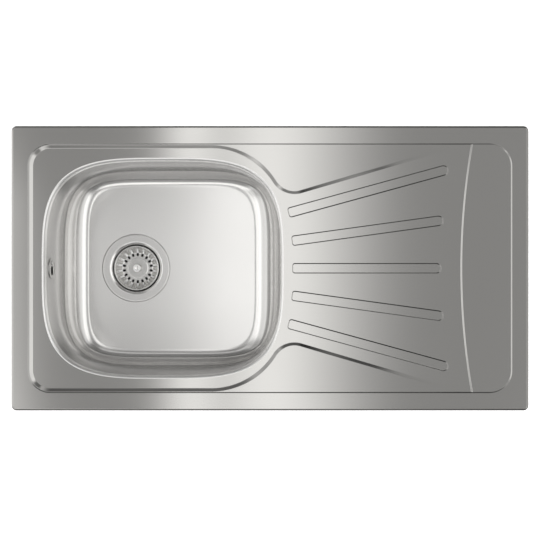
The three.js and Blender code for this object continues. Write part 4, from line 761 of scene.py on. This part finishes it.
def basket():
    """The strainer's pressing, with a groove and a slot for each of its flutes, and a painted highlight on the
    grooves' upward faces.
    """
    steps = SLOTS * 20
    angle = np.arange(steps) * 2 * math.pi / steps
    groove = ease((np.cos(SLOTS * (angle - math.pi / 2)) - 0.25) / 0.45, 0.3)

    def ring(r, z, out=0.0, lift=0.0):
        radius = r + out * groove
        return np.stack([WASTE_X + radius * np.cos(angle), radius * np.sin(angle), z + lift * groove], 1)

    top, low, t = BASKET_TOP, BASKET_Z, 0.7
    inside = [ring(3.3, low), ring(16.3, low), ring(16.9, low), ring(17.4, low - 0.15), ring(17.8, low - 0.45),
              ring(18.4, low - 0.5), ring(24.5, low - 0.45), ring(26.2, low - 0.4, 0.2),
              ring(27.2, low + 0.4, 2.0, -0.3), ring(28.4, low + 2.4, 4.6, -1.2), ring(30.0, low + 5.4, 3.9, -0.8),
              ring(31.8, low + 9, 2.6), ring(33.7, low + 12.2, 1.0), ring(34.9, top - 2.2, 0.15),
              ring(35.4, top - 1.2), ring(35.8, top - 0.45), ring(36.4, top - 0.05), ring(37.0, top)]
    outside = [ring(37.7, top - 0.3), ring(38.0, top - 0.8), ring(37.6, top - 1.2), ring(36.6, top - 1.3),
               ring(35.9, top - 2.0), ring(34.4, low + 12.0, 1.0), ring(32.5, low + 8.8, 2.6),
               ring(30.7, low + 5.0, 3.9, -0.8), ring(29.0, low + 1.9, 4.6, -1.2), ring(27.4, low - 0.3, 2.2, -0.3),
               ring(26.4, low - 0.4 - t, 0.2), ring(24.5, low - 0.45 - t), ring(3.3, low - t)]
    points, faces = loft(outside[::-1] + inside[::-1], closed=True)
    piece = mesh_piece("basket_pressing", points, faces, "basket", "polished_steel", BASKET, ["strainer_basket"],
                       sharp=60)
    tools = []
    for k in range(SLOTS):
        a = math.pi / 2 + k * 2 * math.pi / SLOTS
        along, across = np.array([math.cos(a), math.sin(a)]), np.array([-math.sin(a), math.cos(a)])
        outline = []
        for q in np.linspace(0, 2 * math.pi, 25)[:-1]:
            u = math.copysign(abs(math.cos(q)) ** 0.7, math.cos(q)) * SLOT_LONG
            v = math.copysign(abs(math.sin(q)) ** 0.7, math.sin(q)) * SLOT_WIDE
            outline.append(np.array([WASTE_X, 0]) + (SLOT_AT + u) * along + v * across)
        tools.append(prism(outline, low - 3, low + 2.2))
    piece = leaned(cut(piece, tools, 50), WASTE_Z)
    # Upward faces in the grooves between the slots take the painted highlight.
    piece.data.materials.append(PAINTED_HIGHLIGHT)
    for face in piece.data.polygons:
        x, y = face.center.x / MM - WASTE_X, face.center.y / MM
        turn = math.cos(SLOTS * (math.atan2(y, x) - math.pi / 2))
        if turn > 0.5 and 24.8 < math.hypot(x, y) < 32.5 and face.normal.z > 0:
            face.material_index = 1
    return piece


basket()


def lathe_piece(name, profile, body, slot, look, replaced, steps, matrix=None, radius=0.4):
    """A turned piece on the waste's axis, or carried to its place by a matrix."""
    points, faces = turned(rounded(profile, radius), steps, WASTE if matrix is None else (0, 0))
    if matrix is not None:
        points = carried(points, matrix)
    return mesh_piece(name, points, faces, body, slot, look, replaced, sharp=45)


KNOB_TOP = BASKET_Z + 12
knob = lathe_piece("knob_turning", [
    (0, BASKET_Z), (6.2, BASKET_Z, 0.4), (4.6, BASKET_Z + 3, 1.2), (4.6, KNOB_TOP - 4, 1.2),
    (6.3, KNOB_TOP - 2, 0.7), (6.3, KNOB_TOP - 0.3, 1.3), (5.0, KNOB_TOP + 0.1, 1.2), (3.6, KNOB_TOP - 0.3, 1.0),
    (3.4, KNOB_TOP - 1.1, 0.4), (0, KNOB_TOP - 1.1)],
    "basket", "polished_steel", POLISHED, ["basket_knob"], 48)
# A ring on the knob's top takes the painted highlight.
knob.data.materials.append(PAINTED_HIGHLIGHT)
for face in knob.data.polygons:
    out = math.hypot(face.center.x / MM - WASTE_X, face.center.y / MM)
    if 3.7 < out < 6.2 and face.center.z > (KNOB_TOP - 1) * MM:
        face.material_index = 1
lathe_piece("seal_disc", [
    (3.3, CUP_SEAT), (31, CUP_SEAT), (32, CUP_SEAT + 1), (30, CUP_SEAT + 3.5), (3.3, CUP_SEAT + 3.5)],
    "basket", "rubber", RUBBER, ["basket_seal"], 96)


def nut_piece(name, bore, neck, radius, height, matrix, replaced, grips=8):
    """A union nut: its turned body with ribs to grip, made upright and carried to its place."""
    profile = [(neck, 0), (radius, 0), (radius, height), (bore, height), (bore, 3), (neck, 3)]
    parts = [turned(rounded(profile, 0.5))]
    half, top = 1.2, radius + 1.2
    for k in range(grips):
        a = k * 2 * math.pi / grips
        c, s = math.cos(a), math.sin(a)
        outline = []
        for u, v in ((radius - 1, -half), (top - 0.5, -half), (top, 0.5 - half), (top, half - 0.5), (top - 0.5, half),
                     (radius - 1, half)):
            outline.append((u * c - v * s, u * s + v * c))
        parts.append(prism(outline, 0.4, height - 2.4))
    points, faces = merge(parts)
    return mesh_piece(name, carried(points, matrix), faces, "sink", "black_plastic", BLACK, [replaced], sharp=40)


def waste_body():
    """The plastic body under the cup, its port for the overflow, and the bridge that takes the centre screw."""
    shell = turned(rounded([
        (BODY_BORE, BODY_TOP, 0.3), (BODY_BORE, BODY_BOTTOM, 3), (20.5, OUTLET_TOP, 3), (20.5, OUTLET_END, 0.4),
        (23.5, OUTLET_END, 0.5), (23.5, OUTLET_TOP - 2.5, 3), (BODY_R, BODY_BOTTOM - 2.5, 4),
        (BODY_R, BODY_TOP - 3, 1), (57, BODY_TOP - 3, 0.6), (57, BODY_TOP, 0.6)]), 120, WASTE)
    sideways = Matrix.Translation((WASTE_X, 0, PORT_Z)) @ Matrix.Rotation(-math.pi / 2, 4, "Y")
    port_end = BODY_R + PORT_LENGTH
    port_points, port_faces = turned(rounded([
        (PORT_BORE, 42), (PORT_BORE + 2.5, 42), (PORT_BORE + 2.5, port_end), (PORT_BORE, port_end)]), 64)
    piece = mesh_piece("body_moulding", *shell, "sink", "black_plastic", BLACK, ["waste_body"], sharp=40)
    tool, tool_faces = prism(circle(PORT_BORE), 35, BODY_R + 3)
    cut(piece, [(carried(tool, sideways), tool_faces)], 40)
    mesh_piece("body_port", carried(port_points, sideways), port_faces, "sink", "black_plastic", BLACK, sharp=40)
    bridge_top = WELL_Z - 1.3
    web, web_faces = prism([(-44, -3.5), (44, -3.5), (44, 3.5), (-44, 3.5)], bridge_top - 8, bridge_top)
    mesh_piece("body_bridge", web + (WASTE_X, 0, 0), web_faces, "sink", "black_plastic", BLACK, sharp=30)


waste_body()
NUT_LOW = OUTLET_END - WASHER - FIT - FIT - 3
nut_piece("outlet_union", 23.8, 20.3, 26.5, 17, Matrix.Translation((WASTE_X, 0, NUT_LOW)), "outlet_nut")
TAIL_TOP = OUTLET_END - WASHER - FIT
TAIL_END = TAIL_TOP - TAIL_LENGTH
lathe_piece("tail_tube", [
    (18.4, TAIL_END, 0.6), (20, TAIL_END, 0.6), (20, TAIL_TOP), (22.5, TAIL_TOP), (22.5, OUTLET_END - WASHER),
    (18.4, OUTLET_END - WASHER)],
    "sink", "white_plastic", WHITE, ["outlet_tail"], 96, radius=0.1)

# ---- Overflow ----

FACE = 1.9  # the rosette's front, from the bowl's wall
SCREW_Y = 8.5


def rosette():
    """The overflow's plate, with its slot and the dip that its screw sits in."""
    r = 16.5
    profile = rounded([
        (0, FACE - 1.2), (11.0, FACE - 1.2, 0.1), (11.4, -0.4, 0.1), (12.2, -0.4, 0.1), (12.2, 0.3, 0.1),
        (r, 0.3, 0.1), (r, 0.8, 0.3), (r - 1.6, FACE, 0.8), (r - 4, FACE, 0.5), (r - 4.6, FACE - 0.6, 0.3),
        (0, FACE - 0.6)])
    points, faces = turned(profile)
    piece = mesh_piece("rosette_disc", carried(points, OVERFLOW), faces, "sink", "polished_steel", ROSETTE,
                       ["overflow_rosette"], sharp=50)
    slot = rectangle(4.6, 6.9, 3.2, 8) + (0, -3.6)
    screw_hole = arc(0, 8.0, 4.0, 0, 352, 44)
    tools = [prism(outline, -3, 4) for outline in (slot, screw_hole)]
    return cut(piece, [(carried(points, OVERFLOW), faces) for points, faces in tools], 50)


rosette()
AT_SCREW = OVERFLOW @ Matrix.Translation((0, SCREW_Y, 0))
screw = lathe_piece("rosette_screw", [
    (0, -11), (1.9, -11), (1.9, FACE - 0.55), (3.2, FACE - 0.55, 0.1), (3.2, FACE + 0.1, 0.4), (2.4, FACE + 0.9, 0.5),
    (0, FACE + 0.95)],
    "sink", "polished_steel", POLISHED, ["overflow_screw"], 40, matrix=AT_SCREW)
tool, tool_faces = prism([(-0.45, -4), (0.45, -4), (0.45, 4), (-0.45, 4)], FACE + 0.2, FACE + 3)
cut(screw, [(carried(tool, AT_SCREW @ Matrix.Rotation(0.6, 4, "Z")), tool_faces)], 50)

BACK = -2.8  # the elbow's face, behind the wall and its gasket
ELBOW_AT = OVERFLOW @ Vector((0, 0, BACK - ELBOW_DEPTH * ELBOW_SHARE))
ELBOW_END = ELBOW_AT[2] - ELBOW_TAIL


def overflow_elbow():
    """The chamber behind the overflow's hole, and the tail that takes the pipe."""
    deep = BACK - ELBOW_DEPTH
    points, faces = turned(rounded([
        (0, deep), (14.5, deep, 3), (14.5, BACK - 2.5, 0.8), (18, BACK - 2.5, 0.5), (18, BACK, 0.3),
        (12.5, BACK, 0.3), (12.5, deep + 2, 2), (0, deep + 2)]), 80)
    bore, wall, top = PIPE_R + FIT, 2, ELBOW_AT[2] - 6
    tube = turned(rounded([(bore, ELBOW_END), (bore + wall, ELBOW_END), (bore + wall, top), (bore, top)], 0.3), 64,
                  (ELBOW_AT[0], 0))
    return mesh_piece("elbow_moulding", *merge([(carried(points, OVERFLOW), faces), tube]), "sink",
                      "black_plastic", BLACK, ["overflow_elbow"], sharp=40)


overflow_elbow()


def overflow_pipe():
    """The bent pipe from the elbow's tail to the waste body's port."""
    x, bend = ELBOW_AT[0], PIPE_BEND
    end = WASTE_X - BODY_R - PORT_LENGTH - FIT
    path = [(x, z, 0.0) for z in np.linspace(ELBOW_END + PIPE_INSERTION, PORT_Z + bend, 8)]
    for lean in np.linspace(0, math.pi / 2, 25)[1:]:
        path.append((x + bend - bend * math.cos(lean), PORT_Z + bend - bend * math.sin(lean), lean))
    path.append((end, PORT_Z, math.pi / 2))
    turn = np.arange(48) * 2 * math.pi / 48

    def section(p, r):
        across = r * np.cos(turn)
        return np.stack([p[0] + across * math.cos(p[2]), r * np.sin(turn), p[1] + across * math.sin(p[2])], 1)

    rings = [section(p, PIPE_BORE) for p in path] + [section(p, PIPE_R) for p in path[::-1]]
    points, faces = loft(rings, closed=True)
    return mesh_piece("overflow_tube", points, faces, "sink", "white_plastic", WHITE, ["overflow_pipe"], sharp=50)


overflow_pipe()
nut_piece("upper_union", 10.6, 8.3, 13.3, 14, Matrix.Translation((ELBOW_AT[0], 0, ELBOW_END - 3.3)),
          "overflow_upper_nut")
LOWER_NUT_AT = Matrix.Translation((WASTE_X - BODY_R - PORT_LENGTH - 3.3, 0, PORT_Z))
nut_piece("lower_union", 11.3, 8.3, 14.0, 14, LOWER_NUT_AT @ Matrix.Rotation(math.pi / 2, 4, "Y"),
          "overflow_lower_nut")

# ---- Finishes of the solids that are shown as they are ----

FINISH = {"sink_steel": DECK, "polished_steel": POLISHED, "zinc_steel": ZINC, "black_plastic": BLACK,
          "white_plastic": WHITE, "rubber": RUBBER, "seal_foam": FOAM, "damping_pad": BITUMEN}
for part in frame["record"]["subparts"]:
    look = FINISH[part["material_slot"]]
    solid = nodes[part["node"]]
    solid.data.materials.clear()
    solid.data.materials.append(look)

# ---- Floor, light and camera ----

FLOOR_HALF, FLOOR_CELLS = 6.0, 8
side = FLOOR_CELLS + 1
grid = np.linspace(-FLOOR_HALF, FLOOR_HALF, side)
ground = [(x, y, cad_box[0][2] - MM) for y in grid for x in grid]
corners = [r * side + c for r in range(FLOOR_CELLS) for c in range(FLOOR_CELLS)]
mesh = bpy.data.meshes.new("floor")
mesh.from_pydata(ground, [], [(k, k + 1, k + side + 1, k + side) for k in corners])
floor = bpy.data.objects.new("floor", mesh)
bpy.context.scene.collection.objects.link(floor)
# White, and seen as white by the camera and in the steel, while it still takes the shadow.
made, tree, shader = material("floor_white")
shader.inputs["Base Color"].default_value = (0.9, 0.9, 0.9, 1)
shader.inputs["Roughness"].default_value = 0.9
light_path = tree.add("ShaderNodeLightPath")
glow = tree.add("ShaderNodeEmission")
seen = tree.math("ADD", light_path.outputs["Is Camera Ray"], light_path.outputs["Is Glossy Ray"], clamp=True)
seen = tree.math("ADD", seen, light_path.outputs["Is Transmission Ray"], clamp=True)
tree.link(tree.math("MULTIPLY", seen, 0.62), glow.inputs["Strength"])
both = tree.add("ShaderNodeAddShader")
tree.link(shader.outputs[0], both.inputs[0])
tree.link(glow.outputs[0], both.inputs[1])
tree.link(both.outputs[0], next(n for n in tree.tree.nodes if n.type == "OUTPUT_MATERIAL").inputs[0])
mesh.materials.append(made)

world = bpy.data.worlds.new("studio")
bpy.context.scene.world = world
world.use_nodes = True
tree = Nodes(world.node_tree)
output = tree.add("ShaderNodeOutputWorld")
background = tree.add("ShaderNodeBackground")
place = tree.add("ShaderNodeTexCoord")
split = tree.add("ShaderNodeSeparateXYZ")
tree.link(place.outputs["Generated"], split.inputs[0])
edge = tree.smooth


def product(*values):
    made = values[0]
    for value in values[1:]:
        made = tree.math("MULTIPLY", made, value)
    return made


def total(*values):
    made = values[0]
    for value in values[1:]:
        made = tree.math("ADD", made, value)
    return made


# A direction by its slopes across and along, by its heading east and north, and by its tilt from straight up.
dx, dy, dz = split.outputs
up = tree.math("MAXIMUM", dz, 0.05)
across = tree.math("DIVIDE", dx, up)
along = tree.math("DIVIDE", dy, up)
flat = tree.math("MAXIMUM", tree.math("SQRT", total(product(dx, dx), product(dy, dy))), 0.001)
east = tree.math("DIVIDE", dx, flat)
north = tree.math("DIVIDE", dy, flat)
tilt = tree.math("MULTIPLY", tree.math("ARCTAN2", flat, dz), 1 / DEG)

# Two long softboxes overhead.
depth = product(edge(along, -0.33, -0.17), edge(along, 0.33, 0.17))
box_left = product(edge(across, -0.1345, -0.0775), edge(across, -0.0400, -0.0900), 1.2)
box_middle = product(edge(across, -0.0950, 0.0300), edge(across, 0.1600, -0.0665), 1.50)
overhead = product(total(box_left, box_middle, 0.362), total(product(depth, 0.75), 0.25))

# A pale cove all round, in four rings, that the bowl's curves show. It starts further down at the front,
# and furthest down at the rear.
sideways = product(east, east)
turned_tilt = total(tilt, product(east, -2.6), product(sideways, 5.0), product(edge(north, 0.2, 0.8), -6.0), -5.0)
cove_starts = (15.7, 22.0)
ring = total(
    product(edge(turned_tilt, *cove_starts), edge(turned_tilt, 28, 24), 0.95),
    product(edge(turned_tilt, 24, 28), edge(turned_tilt, 33, 28), 0.75),
    product(edge(turned_tilt, 28, 33), edge(turned_tilt, 46, 39), 0.95),
    product(edge(turned_tilt, 39, 46), edge(turned_tilt, 68, 56), 0.55))
level = total(product(edge(north, 0.3, 0.9), -0.72), 1.4)

# Gaps in the cove at the right and the left, a dark part low down at the front and the rear, and the horizon.
right_gap = product(edge(east, 0.2, 0.4), edge(east, 0.85, 0.65))
left_gap = product(edge(east, -0.65, -0.8), edge(east, -0.98, -0.88))
gaps = total(product(right_gap, -0.72), product(left_gap, -0.5))
open_part = total(product(gaps, edge(tilt, 18, 25)), 1.0)
low_dark = total(product(edge(sideways, 0.6, 0.2), edge(tilt, 33, 41), -0.8), 1.0)
horizon = total(product(east, -0.3), product(north, -0.1), 0.62)
cove = total(product(ring, level), product(horizon, edge(turned_tilt, 56, 68)))
cove = product(cove, open_part, low_dark)
light = total(product(overhead, edge(turned_tilt, *cove_starts[::-1])), cove)
tree.link(light, background.inputs["Strength"])
background.inputs["Color"].default_value = (1, 0.995, 0.985, 1)
white = tree.add("ShaderNodeBackground")
white.inputs["Color"].default_value = (1, 1, 1, 1)
light_path = tree.add("ShaderNodeLightPath")
chosen = tree.add("ShaderNodeMixShader")
tree.link(light_path.outputs["Is Camera Ray"], chosen.inputs[0])
tree.link(background.outputs[0], chosen.inputs[1])
tree.link(white.outputs[0], chosen.inputs[2])
tree.link(chosen.outputs[0], output.inputs[0])


LAMP_SIZE, LAMP_POWER, LAMP_HEIGHT = 1.4, 22, 2.2
LIT_POINT = Vector((0, 0, -0.1))
for name, x, y in (("fill_left", -1.6, -1.2), ("fill_right", 1.6, 1.2), ("fill_front", 0.8, -1.8)):
    lamp = bpy.data.lights.new(name, "AREA")
    lamp.shape = "RECTANGLE"
    lamp.size, lamp.size_y = LAMP_SIZE, LAMP_SIZE
    lamp.energy = LAMP_POWER
    holder = bpy.data.objects.new(name, lamp)
    bpy.context.scene.collection.objects.link(holder)
    holder.location = (x, y, LAMP_HEIGHT)
    holder.rotation_euler = (LIT_POINT - holder.location).to_track_quat("-Z", "Y").to_euler()
    holder.visible_glossy = False

camera_data = bpy.data.cameras.new("camera")
camera_data.lens = 62.0
camera_data.sensor_width = 36.0
camera = bpy.data.objects.new("camera", camera_data)
bpy.context.scene.collection.objects.link(camera)
CAMERA_HEIGHT = 1.4  # above the rim
camera.location = (-0.0053, 0.0027, RIM_Z * MM + CAMERA_HEIGHT)
camera.rotation_euler = (0, 0, 0)
bpy.context.scene.camera = camera
bpy.context.scene.view_settings.view_transform = "Standard"
